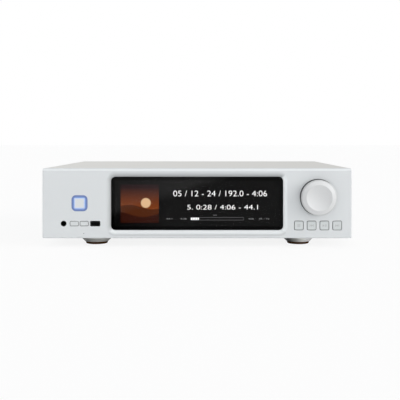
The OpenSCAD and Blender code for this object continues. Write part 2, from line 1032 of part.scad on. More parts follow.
// Grub screw that locks the knob on its shaft
module knob_grub_screw() {
    color(steel)
        at_front(control_x, knob_z)
            translate([0, -grub_y, -shaft_r - bush_fit - grub_len])
                difference() {
                    cylinder(h = grub_len, r = grub_r);
                    translate([0, 0, -over])
                        cylinder(h = socket_depth + over, r = socket_r, $fn = 6);
                }
}

// Turning shaft of the encoder
module encoder_shaft() {
    color(steel)
        at_front(control_x, knob_z)
            rod(knob_web - knob_len + fit, wall_t + shaft_end - fit, shaft_r);
}

// Encoder housing and its threaded bush
module encoder_body() {
    color(steel)
        at_front(control_x, knob_z)
            difference() {
                union() {
                    slab(wall_t, board_y)
                        square([encoder_size, encoder_size], center = true);
                    rod(-bush_front, wall_t + over, bush_r);
                }
                rod(-bush_front - over, wall_t + shaft_end, shaft_r + bush_fit);
            }
}

// Flanged nut that holds the encoder in the recess
module encoder_nut() {
    color(steel)
        at_front(control_x, knob_z)
            difference() {
                union() {
                    rod(recess_depth - washer_t, recess_depth, washer_r);
                    translate([0, recess_depth - washer_t - nut_h, 0])
                        rotate([-90, 0, 0])
                            cylinder(h = nut_h + washer_t / 2, r = nut_r, $fn = 6);
                }
                rod(-recess_depth, recess_depth + over, bush_r + bush_fit);
            }
}

// Power button inside the lit ring
module power_button() {
    rear = wall_t + ring_flange_t;
    color(silver)
        at_front(power_x, power_z) {
            cap(power_size, power_size, power_r, cap_chamfer, -key_proud, rear + ring_flange_t);
            slab(rear, rear + ring_flange_t)
                rounded(power_size + 2 * (power_gap + power_flange),
                    power_size + 2 * (power_gap + power_flange), power_r + power_gap);
            rod(rear, stem_y, stem_r);
        }
}

// Light guide round the power button
module power_light_ring() {
    color(blue)
        at_front(power_x, power_z)
            difference() {
                union() {
                    slab(0, wall_t + ring_flange_t)
                        rounded(ring_size, ring_size, ring_r);
                    slab(wall_t, wall_t + ring_flange_t)
                        rounded(ring_size + 2 * ring_flange, ring_size + 2 * ring_flange, ring_r);
                }
                slab(-over, wall_t + ring_flange_t + over)
                    rounded(power_size + 2 * power_gap, power_size + 2 * power_gap, power_r + power_gap);
            }
}

// Small rectangular key with its flange and stem
module select_key(x) {
    color(silver)
        at_front(x, row_z) {
            cap(select_w, select_h, select_r, cap_chamfer, -key_proud, wall_t + flange_t);
            slab(wall_t, wall_t + flange_t)
                rounded(select_w + 2 * (select_gap + select_flange),
                    select_h + 2 * (select_gap + select_flange), select_r);
            rod(wall_t, stem_y, stem_r);
        }
}

// Select key nearer the headphone socket
module select_key_1() {
    select_key(select_x[0]);
}

// Select key nearer the USB socket
module select_key_2() {
    select_key(select_x[1]);
}

// Square key with its flange and stem, counted from the left
module square_key(i) {
    color(silver)
        at_front(key_x(i), key_z) {
            cap(key_size, key_size, key_r, cap_chamfer, -key_proud, wall_t + flange_t);
            slab(wall_t, wall_t + flange_t)
                rounded(key_size + 2 * (key_gap + key_flange), key_size + 2 * (key_gap + key_flange),
                    key_r);
            rod(wall_t, stem_y, stem_r);
        }
}

// First square key
module menu_key() {
    square_key(0);
}

// Second square key
module previous_key() {
    square_key(1);
}

// Third square key
module play_key() {
    square_key(2);
}

// Fourth square key
module next_key() {
    square_key(3);
}

// One switch, with the hole that its key's stem works in
module push_switch() {
    difference() {
        slab(switch_y, board_y)
            square([switch_size, switch_size], center = true);
        rod(switch_y - over, switch_y + switch_bore, stem_bore_r);
    }
}

// Switches behind the keys
module push_switches() {
    color(black) {
        at_front(power_x, power_z)
            push_switch();
        for (x = select_x)
            at_front(x, row_z)
                push_switch();
        for (i = [0 : key_count - 1])
            at_front(key_x(i), key_z)
                push_switch();
    }
}

// Blank of a control board with its screw holes
module control_board_blank(side) {
    difference() {
        translate([side * control_x, 0, front_h / 2])
            slab(board_y, board_y + board_t)
                square([pocket_w - 2 * board_gap, front_h - 2 * (pocket_rim + board_gap)], center = true);
        at_bosses()
            rod(board_y - over, board_y + board_t + over, board_screw_r + close_fit);
    }
}

// Board behind the power button and the front sockets
module left_control_board() {
    color(green)
        at_front()
            difference() {
                control_board_blank(-1);
                translate([jack_x, 0, row_z])
                    slab(board_y - over, board_y + board_t + over)
                        square([jack_body + 2 * fit, jack_body + 2 * fit], center = true);
            }
}

// Board behind the knob and the square keys
module right_control_board() {
    color(green)
        at_front()
            control_board_blank(1);
}

// Headphone socket with its nose in the front panel
module headphone_socket() {
    color(black)
        at_front(jack_x, row_z)
            difference() {
                union() {
                    rod(-jack_proud, wall_t + over, jack_d / 2);
                    slab(wall_t, jack_body_end)
                        square([jack_body, jack_body], center = true);
                }
                rod(-jack_proud - over, jack_bore_end, jack_bore_d / 2);
            }
}

// Black bezel that holds the front USB socket in the panel
module usb_bezel() {
    color(black)
        at_front(usb_x, row_z)
            difference() {
                union() {
                    slab(0, wall_t + bezel_flange_t)
                        rounded(bezel_w, bezel_h, bezel_r);
                    slab(wall_t, wall_t + bezel_flange_t)
                        rounded(bezel_w + 2 * bezel_flange, bezel_h + 2 * bezel_flange, bezel_r);
                }
                slab(-over, usb_setback + over)
                    square([usb_in_w, usb_in_h], center = true);
                slab(usb_setback, wall_t + bezel_flange_t + over)
                    square([usb_w + 2 * close_fit, usb_h + 2 * close_fit], center = true);
            }
}

// USB shell with its mouth at y = 0, running back along +y
module usb_shell(len) {
    difference() {
        slab(0, len)
            square([usb_w, usb_h], center = true);
        slab(-over, len - usb_wall)
            square([usb_in_w, usb_in_h], center = true);
    }
}

// USB contact carrier inside a shell
module usb_tongue(len) {
    slab(len - usb_wall - usb_block, len - usb_wall)
        square([usb_in_w - close_fit, usb_in_h - close_fit], center = true);
    translate([0, 0, tongue_up])
        slab(usb_mouth, len - usb_wall - usb_block + close_fit)
            square([tongue_w, tongue_t], center = true);
}

// Metal shells of the three USB sockets
module usb_shells() {
    color(steel) {
        at_front(usb_x, row_z)
            translate([0, usb_setback, 0])
                usb_shell(board_y - usb_setback);
        for (x = rear_usb_x)
            at_rear(main_x + x, deck_top + usb_h / 2)
                translate([0, lan_proud, 0])
                    rotate([0, 0, 180])
                        usb_shell(usb_len);
    }
}

// Contact carriers of the three USB sockets
module usb_tongues() {
    color(black) {
        at_front(usb_x, row_z)
            translate([0, usb_setback, 0])
                usb_tongue(board_y - usb_setback);
        for (x = rear_usb_x)
            at_rear(main_x + x, deck_top + usb_h / 2)
                translate([0, lan_proud, 0])
                    rotate([0, 0, 180])
                        usb_tongue(usb_len);
    }
}

// Mains inlet with its flange and mouth
module mains_inlet() {
    half_w = inlet_mouth_w / 2;
    half_h = inlet_mouth_h / 2;
    color(black)
        at_rear(inner_x - inlet_edge, socket_z)
            difference() {
                union() {
                    slab(0, inlet_flange_t)
                        rounded(inlet_flange_w, inlet_flange_h, inlet_r);
                    slab(-inlet_depth, over)
                        rounded(inlet_w, inlet_h, inlet_r);
                }
                slab(-inlet_floor, inlet_flange_t + over)
                    polygon([[-half_w, -half_h], [half_w, -half_h], [half_w, half_h - inlet_cut],
                        [half_w - inlet_cut, half_h], [inlet_cut - half_w, half_h],
                        [-half_w, half_h - inlet_cut]]);
                for (side = [-1, 1])
                    translate([side * inlet_screw, 0, 0])
                        rod(-over, inlet_flange_t + over, screw_r + close_fit);
            }
}

// Three contact blades of the mains inlet
module mains_inlet_pins() {
    color(steel)
        at_rear(inner_x - inlet_edge, socket_z)
            for (pin = [[-blade_x, -blade_up], [0, blade_up], [blade_x, -blade_up]])
                translate([pin[0], 0, pin[1]])
                    slab(-inlet_floor, blade_len - inlet_floor)
                        square([blade_w, blade_h], center = true);
}

// Frame of the mains switch
module mains_switch_frame() {
    color(black)
        at_rear(inner_x - switch_edge, socket_z)
            difference() {
                union() {
                    slab(0, frame_t)
                        rounded(frame_w, frame_h, frame_r);
                    slab(-frame_depth, over)
                        square([frame_body_w, frame_body_h], center = true);
                }
                slab(-frame_floor, frame_t + over)
                    square([frame_in_w, frame_in_h], center = true);
                translate([-pivot_reach - close_fit, -pivot_y, 0])
                    rotate([0, 90, 0])
                        cylinder(h = 2 * (pivot_reach + close_fit), r = pivot_r + bush_fit);
            }
}

// Rocker of the mains switch, shown switched on
module mains_rocker() {
    face_rise = rocker_half * tan(rocker_tilt);
    color(black)
        at_rear(inner_x - switch_edge, socket_z)
            translate([0, -pivot_y, 0])
                rotate([rocker_tilt, 0, 0]) {
                    along_x(rocker_w)
                        polygon([[rocker_face, 0], [rocker_face + face_rise, rocker_half],
                            [-rocker_back, rocker_half], [-rocker_heel, rocker_heel_half],
                            [-rocker_heel, -rocker_heel_half], [-rocker_back, -rocker_half],
                            [rocker_face + face_rise, -rocker_half]]);
                    translate([-pivot_reach, 0, 0])
                        rotate([0, 90, 0])
                            cylinder(h = 2 * pivot_reach, r = pivot_r);
                }
}

// Metal barrels, studs and nuts of the audio sockets
module rca_barrels() {
    nut_y = -rear_t - rca_bush_rim;
    color(gold)
        for (x = rca_x)
            at_rear(audio_x + x, socket_z) {
                difference() {
                    union() {
                        rod(rca_washer_t, rca_len, rca_d / 2);
                        rod(-rca_stud_end, rca_washer_t + rca_base / 2, rca_stud_r);
                    }
                    rod(rca_washer_t + rca_base, rca_len + over, rca_d / 2 - rca_wall);
                }
                difference() {
                    translate([0, nut_y - rca_nut_h, 0])
                        rotate([-90, 0, 0])
                            cylinder(h = rca_nut_h, r = rca_nut_r, $fn = 6);
                    rod(nut_y - rca_nut_h - over, nut_y + over, rca_stud_r + bush_fit);
                }
            }
}

// Insulating washers, bushes and cores of the audio sockets
module rca_insulators() {
    color(white)
        for (x = rca_x)
            at_rear(audio_x + x, socket_z) {
                difference() {
                    union() {
                        rod(0, rca_washer_t, rca_washer_r);
                        rod(-rear_t - rca_bush_rim, over, rca_bush_r);
                    }
                    rod(-rear_t - rca_bush_rim - over, rca_washer_t + over, rca_stud_r + bush_fit);
                }
                difference() {
                    rod(rca_washer_t + rca_base, rca_len - rca_core_back,
                        rca_d / 2 - rca_wall - bush_fit);
                    rod(rca_len - rca_core_back - rca_hole_depth, rca_len, rca_hole_r);
                }
            }
}

// Network socket on the main board
module network_socket() {
    color(steel)
        at_rear(main_x + lan_x, deck_top + lan_h / 2)
            difference() {
                slab(lan_proud - lan_depth, lan_proud)
                    square([lan_w, lan_h], center = true);
                translate([0, 0, lan_up]) {
                    slab(lan_proud - lan_mouth_depth, lan_proud + over)
                        square([lan_mouth_w, lan_mouth_h], center = true);
                    translate([0, 0, -lan_mouth_h / 2])
                        slab(lan_proud - lan_mouth_depth, lan_proud + over)
                            square([lan_notch_w, 2 * lan_notch_h], center = true);
                }
            }
}

// Toroidal transformer
module transformer() {
    wound = transformer_d / 2 - transformer_hole_r;
    color(copper)
        at_front(transformer_x, base_t)
            translate([0, transformer_y, transformer_h / 2])
                rotate_extrude()
                    translate([transformer_hole_r + wound / 2, 0])
                        rounded(wound, transformer_h, transformer_round);
}

// Dished washer and bolt that hold the transformer down
module transformer_clamp() {
    color(steel)
        at_front(transformer_x, base_t)
            translate([0, transformer_y, 0]) {
                translate([0, 0, transformer_h])
                    cylinder(h = clamp_t, r = clamp_r);
                cylinder(h = transformer_h + clamp_t / 2, r = clamp_bolt_r);
                translate([0, 0, transformer_h + clamp_t / 2])
                    cylinder(h = clamp_t / 2 + clamp_head_h, r = clamp_head_r, $fn = 6);
            }
}

// Children at the four corners of a board
module at_corners(x, y, w, d) {
    for (sx = [-1, 1], cy = [y + standoff_inset, y + d - standoff_inset])
        translate([x + sx * (w / 2 - standoff_inset), cy, 0])
            children();
}

// Children at every standoff of the three inner boards
module at_standoffs() {
    at_corners(power_board_x, power_board_y, power_board_w, power_board_w)
        children();
    at_corners(main_x, main_board_y, main_board_w, main_board_d)
        children();
    at_corners(audio_x, audio_board_y, audio_board_w, audio_board_d)
        children();
}

// Blank of an inner board with its screw holes
module deck_board(x, y, w, d) {
    difference() {
        translate([x - w / 2, y, deck_z])
            cube([w, d, board_t]);
        at_corners(x, y, w, d)
            translate([0, 0, deck_z - over])
                cylinder(h = board_t + 2 * over, r = board_screw_r + close_fit);
    }
}

// One flat chip on an inner board
module chip(x, y) {
    translate([x - chip_size / 2, y - chip_size / 2, deck_top - board_t / 2])
        cube([chip_size, chip_size, board_t / 2 + chip_h]);
}

// Power supply board
module power_board() {
    color(green)
        at_front()
            deck_board(power_board_x, power_board_y, power_board_w, power_board_w);
}

// Reservoir capacitors on the power board
module power_capacitors() {
    color(black)
        at_front(power_board_x, deck_top)
            translate([0, power_board_y + power_board_w / 2, 0])
                for (i = [0 : capacitor_count - 1])
                    translate([(i - (capacitor_count - 1) / 2) * capacitor_pitch, 0, 0])
                        cylinder(h = capacitor_h, r = capacitor_r);
}

// Main board with its chips
module main_board() {
    color(green)
        at_front() {
            deck_board(main_x, main_board_y, main_board_w, main_board_d);
            chip(main_x - main_board_w / 4, main_board_y + chip_size);
            chip(main_x + main_board_w / 4, main_board_y + chip_size);
        }
}

// Finned heat sink on the processor
module processor_heatsink() {
    fin_pitch = (sink_size - fin_t) / (fin_count - 1);
    color(black)
        at_front(main_x - sink_size / 2, deck_top)
            translate([0, main_board_y + (main_board_d - sink_size) / 2, 0]) {
                cube([sink_size, sink_size, sink_base]);
                for (i = [0 : fin_count - 1])
                    translate([i * fin_pitch, 0, 0])
                        cube([fin_t, sink_size, sink_h]);
            }
}

// Audio board with its converter chips
module audio_board() {
    color(green)
        at_front() {
            deck_board(audio_x, audio_board_y, audio_board_w, audio_board_d);
            for (sx = [-1, 1])
                chip(audio_x + sx * audio_board_w / 4, audio_board_y + audio_board_d / 2);
        }
}

// Storage drive on the base plate
module storage_drive() {
    color(steel)
        at_front(drive_x - drive_w / 2, base_t)
            translate([0, drive_y, 0])
                cube([drive_w, drive_d, drive_h]);
}

// Pillars under the inner boards
module board_standoffs() {
    color(gold)
        at_front()
            at_standoffs()
                difference() {
                    translate([0, 0, base_t])
                        cylinder(h = standoff_h, r = standoff_r, $fn = 6);
                    translate([0, 0, deck_top - board_screw_len])
                        cylinder(h = board_screw_len, r = board_screw_r + close_fit);
                }
}

// Screws of the inner boards and the control boards
module board_screws() {
    color(steel)
        at_front() {
            at_standoffs()
                translate([0, 0, deck_top])
                    pan_screw(board_screw_len - fit, board_screw_r, board_head_r, board_head_h);
            at_bosses()
                translate([0, board_y + board_t, 0])
                    rotate([-90, 0, 0])
                        pan_screw(board_screw_len - fit, board_screw_r, board_head_r, board_head_h);
        }
}

front_panel();
front_subframe();
side_panel_left();
side_panel_right();
top_cover();
base_plate();
rear_panel();
top_cover_screws();
base_plate_screws();
rear_panel_screws();
front_panel_screws();
foot_front_left();
foot_front_right();
foot_rear_left();
foot_rear_right();
foot_pads();
foot_screws();
display_glass();
display_gasket();
lcd_module();
display_bracket();
display_cable();
volume_knob();
knob_grub_screw();
encoder_shaft();
encoder_body();
encoder_nut();
power_button();
power_light_ring();
select_key_1();
select_key_2();
menu_key();
previous_key();
play_key();
next_key();
push_switches();
left_control_board();
right_control_board();
headphone_socket();
usb_bezel();
usb_shells();
usb_tongues();
mains_inlet();
mains_inlet_pins();
mains_switch_frame();
mains_rocker();
rca_barrels();
rca_insulators();
network_socket();
transformer();
transformer_clamp();
power_board();
power_capacitors();
main_board();
processor_heatsink();
audio_board();
storage_drive();
board_standoffs();
board_screws();
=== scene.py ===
"""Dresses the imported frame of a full-width network music streamer and sets it in a plain studio."""
import json
import logging
import math
from dataclasses import dataclass, field, replace
from enum import Enum
from typing import Any

import bpy
import numpy as np
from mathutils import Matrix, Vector


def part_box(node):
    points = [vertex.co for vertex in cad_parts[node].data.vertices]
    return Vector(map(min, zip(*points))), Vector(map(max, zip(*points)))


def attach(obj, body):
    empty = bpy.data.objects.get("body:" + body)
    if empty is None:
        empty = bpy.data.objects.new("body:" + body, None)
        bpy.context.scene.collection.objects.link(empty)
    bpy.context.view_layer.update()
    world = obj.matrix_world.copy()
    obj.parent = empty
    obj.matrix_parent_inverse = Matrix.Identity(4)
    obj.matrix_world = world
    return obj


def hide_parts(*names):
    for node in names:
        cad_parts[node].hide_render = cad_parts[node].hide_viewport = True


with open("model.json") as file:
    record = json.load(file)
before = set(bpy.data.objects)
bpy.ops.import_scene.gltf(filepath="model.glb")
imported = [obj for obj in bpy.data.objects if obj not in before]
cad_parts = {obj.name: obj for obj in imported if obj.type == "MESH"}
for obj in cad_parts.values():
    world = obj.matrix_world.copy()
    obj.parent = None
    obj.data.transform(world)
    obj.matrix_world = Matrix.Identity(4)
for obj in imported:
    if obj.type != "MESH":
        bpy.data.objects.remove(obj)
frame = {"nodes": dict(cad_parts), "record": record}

LOG = logging.getLogger("streamer")
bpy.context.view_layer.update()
MM = 0.001
Triple = tuple[float, float, float]
Colour = tuple[float, float, float]
Array = np.ndarray
Socket = bpy.types.NodeSocket
Value = float | bpy.types.NodeSocket
BLACK = (0.0, 0.0, 0.0, 1.0)
WHITE = (1.0, 1.0, 1.0, 1.0)
ORIGIN = (0.0, 0.0, 0.0)
FRONT_PLANE = (1.0, 0.0, 1.0)


class Slot(Enum):
    """Material slots of the record."""

    CASE = "silver_aluminium"
    TURNED = "turned_aluminium"
    STEEL = "steel"
    GLASS = "display_glass"
    SCREEN = "screen"
    FOAM = "black_foam"
    LIGHT = "light_guide"
    PLASTIC = "black_plastic"
    PAD = "pad"
    BOARD = "board"
    BRASS = "brass"
    INSULATOR = "socket_insulator"
    CABLE = "cable"
    WINDING = "winding"


class Body(Enum):
    """Moving bodies of the frame that carry added pieces."""

    CASE = "case"
    MENU = "menu"
    PREVIOUS = "previous"
    PLAY = "play"
    NEXT = "next"
    ROCKER = "rocker"


class Grain(Enum):
    """Ways in which the fine grain of a surface lies."""

    EVEN = "even"
    TURNED = "turned"
    BRUSHED = "brushed"


@dataclass(frozen=True)
class Box:
    """Box of one node of the frame, in millimetres."""

    low: Vector
    high: Vector

    @classmethod
    def of(cls, node: str) -> "Box":
        """Reads a node's box from the frame."""
        low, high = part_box(node)
        return cls(Vector(low) / MM, Vector(high) / MM)

    @property
    def middle(self) -> Vector:
        """Middle of the box."""
        return (self.low + self.high) / 2

    @property
    def half(self) -> Vector:
        """Half of the box's size along each axis."""
        return (self.high - self.low) / 2


PANEL_BOX = Box.of("front_panel")
FACE_MM = PANEL_BOX.low.y


# Surfaces, in millimetres
def closed_faces(rows: int, columns: int, wrap_rows: bool) -> Array:
    """Numbers the quads of a grid whose columns run round: point (i, j) is vertex i * columns + j.

    Args:
        rows: Points along the first parameter.
        columns: Points round the second parameter, which closes on itself.
        wrap_rows: True where the first parameter closes on itself too.

    Returns:
        One row of four vertex numbers per quad.
    """
    i, j = np.meshgrid(np.arange(rows if wrap_rows else rows - 1), np.arange(columns), indexing="ij")
    down, right = (i + 1) % rows, (j + 1) % columns
    corners = [i * columns + j, down * columns + j, down * columns + right, i * columns + right]
    return np.stack(corners, -1).reshape(-1, 4)


def rounded_outline(width: float, height: float, radius: float, steps: int = 10) -> Array:
    """Walks round a rectangle with round corners: four quarter circles joined by straight runs.

    Args:
        width: Size along the first axis.
        height: Size along the second axis.
        radius: Corner radius.
        steps: Points on each corner.

    Returns:
        Points of the closed outline, anticlockwise.
    """
    turn = np.linspace(0.0, math.pi / 2, steps)
    start = np.arange(4)[:, None] * math.pi / 2
    sign = np.array([[1, 1], [-1, 1], [-1, -1], [1, -1]], float)
    centre = sign * np.array([width / 2 - radius, height / 2 - radius])
    arc = np.stack([np.cos(start + turn), np.sin(start + turn)], -1) * radius
    return (centre[:, None, :] + arc).reshape(-1, 2)


@dataclass
class Surface:
    """A mesh worked out as arrays: points, blocks of faces with as many corners each, and a UV per point."""

    points: Array
    blocks: list[Array]
    uv: Array

    def volume(self) -> float:
        """Adds up the signed volume: a sixth of the corner determinants of each face's fan of triangles.

        Returns:
            The volume, which is below zero where the faces look inwards.
        """
        total = 0.0
        for block in self.blocks:
            a, b, c = self.points[block[:, :1]], self.points[block[:, 1:-1]], self.points[block[:, 2:]]
            total += float((a * np.cross(b, c)).sum())
        return total / 6

    def outward(self) -> "Surface":
        """Gives the surface with its faces outwards, turned round where its volume is below zero."""
        step = 1 if self.volume() >= 0 else -1
        return replace(self, blocks=[block[:, ::step] for block in self.blocks])

    def moved(self, shift: Vector) -> "Surface":
        """Gives the surface at another place."""
        return replace(self, points=self.points + np.array(shift))

    def piece(self, name: str, material: bpy.types.Material, smooth_deg: float = 35.0) -> bpy.types.Object:
        """Puts the surface, turned from millimetres to metres, into a mesh object at the origin.

        Args:
            name: Name of the piece.
            material: Its finish.
            smooth_deg: Edges sharper than this stay sharp.

        Returns:
            The new object.
        """
        faces = [face for block in self.blocks for face in block.tolist()]
        mesh = bpy.data.meshes.new(name)
        mesh.from_pydata((self.points * MM).tolist(), [], faces)
        mesh.update()
        corners = np.zeros(len(mesh.loops), np.int32)
        mesh.loops.foreach_get("vertex_index", corners)
        layer = mesh.uv_layers.new(name="UVMap")
        layer.data.foreach_set("uv", self.uv[corners].astype(np.float32).ravel())
        mesh.shade_smooth()
        mesh.set_sharp_from_angle(angle=math.radians(smooth_deg))
        mesh.materials.append(material)
        return linked(name, mesh)


def linked(name: str, data: bpy.types.ID) -> bpy.types.Object:
    """Makes an object of some data and links it to the scene.

    Args:
        name: Name of the object.
        data: Its mesh, curve, lamp or camera.

    Returns:
        The new object.
    """
    made = bpy.data.objects.new(name, data)
    bpy.context.scene.collection.objects.link(made)
    return made


def joined(parts: list[Surface]) -> Surface:
    """Collects several surfaces into one, with the later ones' vertex numbers moved up.

    Args:
        parts: The surfaces.

    Returns:
        One surface.
    """
    starts = np.cumsum([0] + [len(part.points) for part in parts])
    blocks = [block + start for part, start in zip(parts, starts) for block in part.blocks]
    return Surface(np.vstack([part.points for part in parts]), blocks, np.vstack([part.uv for part in parts]))


def slab(outline: Array, front: float, back: float) -> Surface:
    """Closed thin plate: a flat outline in x and z carried along y from front to back and capped.

    Args:
        outline: Points (x, z) round the plate.
        front: Place of the front face along y.
        back: Place of the back face along y.

    Returns:
        The plate, with UV from 0 to 1 across its box.
    """
    count = len(outline)
    depth = np.repeat([front, back], count)
    flat = np.vstack([outline, outline])
    points = np.stack([flat[:, 0], depth, flat[:, 1]], -1)
    ring = np.arange(count)
    caps = np.stack([ring, (count + ring)[::-1]])
    low, high = outline.min(0), outline.max(0)
    return Surface(points, [closed_faces(2, count, False), caps], (flat - low) / (high - low)).outward()


def frame_sweep(outer: Triple, profile: Array, place: Vector) -> Surface:
    """Ring: a closed profile carried round a rectangle with round corners.

    A profile point (inset, depth) follows the outline whose width and height are smaller by twice the
    inset and whose corner radius is smaller by the inset.

    Args:
        outer: Width, height and corner radius of the outermost outline.
        profile: Points (inset, depth) of the closed profile.
        place: Centre of the ring at depth 0.

    Returns:
        The ring, with U round it and V across its inset.
    """
    width, height, radius = outer
    rows = np.stack([rounded_outline(width - 2 * d, height - 2 * d, radius - d) for d in profile[:, 0]])
    count = rows.shape[1]
    depth = np.broadcast_to(profile[:, 1, None], rows.shape[:2])
    points = np.stack([rows[..., 0], depth, rows[..., 1]], -1) + np.array(place)
    u = np.broadcast_to(np.arange(count) / count, rows.shape[:2])
    v = np.broadcast_to((profile[:, 0] / profile[:, 0].max())[:, None], rows.shape[:2])
    blocks = [closed_faces(len(profile), count, True)]
    return Surface(points.reshape(-1, 3), blocks, np.stack([u, v], -1).reshape(-1, 2)).outward()


def square_profile(width: float, front: float, back: float) -> Array:
    """Gives the profile of a plain ring: a rectangle of its width between its front and its back."""
    return np.array([[0.0, front], [width, front], [width, back], [0.0, back]])


def bar(x: float, z: float, width: float, height: float, front: float, back: float) -> Surface:
    """Flat bar about a centre."""
    outline = np.array([[1, 1], [-1, 1], [-1, -1], [1, -1]]) * np.array([width, height]) / 2
    return slab(outline + np.array([x, z]), front, back)


def arrow(x: float, z: float, width: float, height: float, front: float, back: float) -> Surface:
    """Flat triangle about a centre that points to +x, or to -x with a negative width."""
    outline = np.array([[-width / 2, -height / 2], [width / 2, 0.0], [-width / 2, height / 2]])
    return slab(outline + np.array([x, z]), front, back)


# Shaders
class Tree:
    """Nodes and links of one material, world or shared group."""

    def __init__(self, tree: bpy.types.NodeTree) -> None:
        """Takes over an empty node tree."""
        self.tree = tree

    def put(self, target: Socket, value: Any) -> None:
        """Links a socket to an input, or sets a constant on it.

        Args:
            target: The input.
            value: A socket or a constant.
        """
        if isinstance(value, bpy.types.NodeSocket):
            self.tree.links.new(value, target)
        else:
            target.default_value = value

    def add(self, kind: str, inputs: dict[Any, Any] | None = None, **settings: Any) -> bpy.types.Node:
        """Adds a node.

        Args:
            kind: Blender's name of the node type.
            inputs: A constant or a socket to link, by input name or number.
            **settings: The node's own settings.

        Returns:
            The new node.
        """
        node = self.tree.nodes.new(kind)
        for key, value in settings.items():
            setattr(node, key, value)
        for key, value in (inputs or {}).items():
            self.put(node.inputs[key], value)
        return node

    def shared(self, group: bpy.types.NodeTree, inputs: dict[str, Any]) -> Any:
        """Adds a shared group and gives its outputs."""
        return self.add("ShaderNodeGroup", inputs, node_tree=group).outputs

    def calc(self, operation: str, a: Value, b: Value = 0.0, clamp: bool = False) -> Socket:
        """Adds a Math node and gives its output."""
        return self.add("ShaderNodeMath", {0: a, 1: b}, operation=operation, use_clamp=clamp).outputs[0]

    def plus(self, a: Value, b: Value, clamp: bool = False) -> Socket:
        """Adds two values."""
        return self.calc("ADD", a, b, clamp)

    def minus(self, a: Value, b: Value, clamp: bool = False) -> Socket:
        """Takes the second value from the first."""
        return self.calc("SUBTRACT", a, b, clamp)

    def times(self, a: Value, b: Value, clamp: bool = False) -> Socket:
        """Multiplies two values."""
        return self.calc("MULTIPLY", a, b, clamp)

    def over(self, a: Value, b: Value, clamp: bool = False) -> Socket:
        """Divides the first value by the second."""
        return self.calc("DIVIDE", a, b, clamp)

    def larger(self, a: Value, b: Value) -> Socket:
        """Gives the larger of two values."""
        return self.calc("MAXIMUM", a, b)

    def past(self, a: Value, b: Value) -> Socket:
        """Gives 1 where the first value is above the second, and 0 elsewhere."""
        return self.calc("GREATER_THAN", a, b)

    def off(self, a: Value, b: Value) -> Socket:
        """Gives the distance between two values."""
        return self.calc("ABSOLUTE", self.minus(a, b))

    def root(self, a: Value, b: Value) -> Socket:
        """Gives the length of the sloping side over two legs: the root of the sum of their squares."""
        return self.calc("SQRT", self.plus(self.times(a, a), self.times(b, b)))

    def vector(self, operation: str, a: Any, b: Any = ORIGIN) -> bpy.types.Node:
        """Adds a Vector Math node of two vectors."""
        return self.add("ShaderNodeVectorMath", {0: a, 1: b}, operation=operation)

    def scaled(self, vector: Any, factor: Value) -> Socket:
        """Gives a vector or a colour times a factor."""
        return self.add("ShaderNodeVectorMath", {0: vector, 3: factor}, operation="SCALE").outputs[0]

    def mix(self, share: Value, a: Any, b: Any) -> Socket:
        """Adds a colour mix and gives its output."""
        return self.add("ShaderNodeMix", {0: share, 6: a, 7: b}, data_type="RGBA").outputs[2]

    def place(self, centre_mm: Triple | None = None) -> Socket:
        """Gives the piece's own coordinates in millimetres, from a centre where there is one."""
        own = self.scaled(self.add("ShaderNodeTexCoord").outputs["Object"], 1.0 / MM)
        return own if centre_mm is None else self.vector("SUBTRACT", own, centre_mm).outputs[0]

    def axes(self, place: Socket) -> tuple[Socket, Socket, Socket]:
        """Splits coordinates into x, y and z."""
        outputs = self.add("ShaderNodeSeparateXYZ", {0: place}).outputs
        return outputs["X"], outputs["Y"], outputs["Z"]

    def spread_uv(self) -> tuple[Socket, Socket, Socket]:
        """Gives U and V of the mesh as the first two of three values."""
        return self.axes(self.add("ShaderNodeTexCoord").outputs["UV"])

    def radius(self, centre_mm: Triple) -> Socket:
        """Gives the distance from an axis that runs along y."""
        flat = self.vector("MULTIPLY", self.place(centre_mm), FRONT_PLANE).outputs[0]
        return self.vector("LENGTH", flat).outputs["Value"]


def rgba(colour: Colour) -> tuple[float, float, float, float]:
    """Adds a full alpha to a colour."""
    return (*colour, 1.0)


def toned(colour: Colour, *shares: float) -> Colour:
    """Gives a colour times one share, or times a share for each channel."""
    return tuple(float(c) for c in np.array(colour) * np.array(shares))


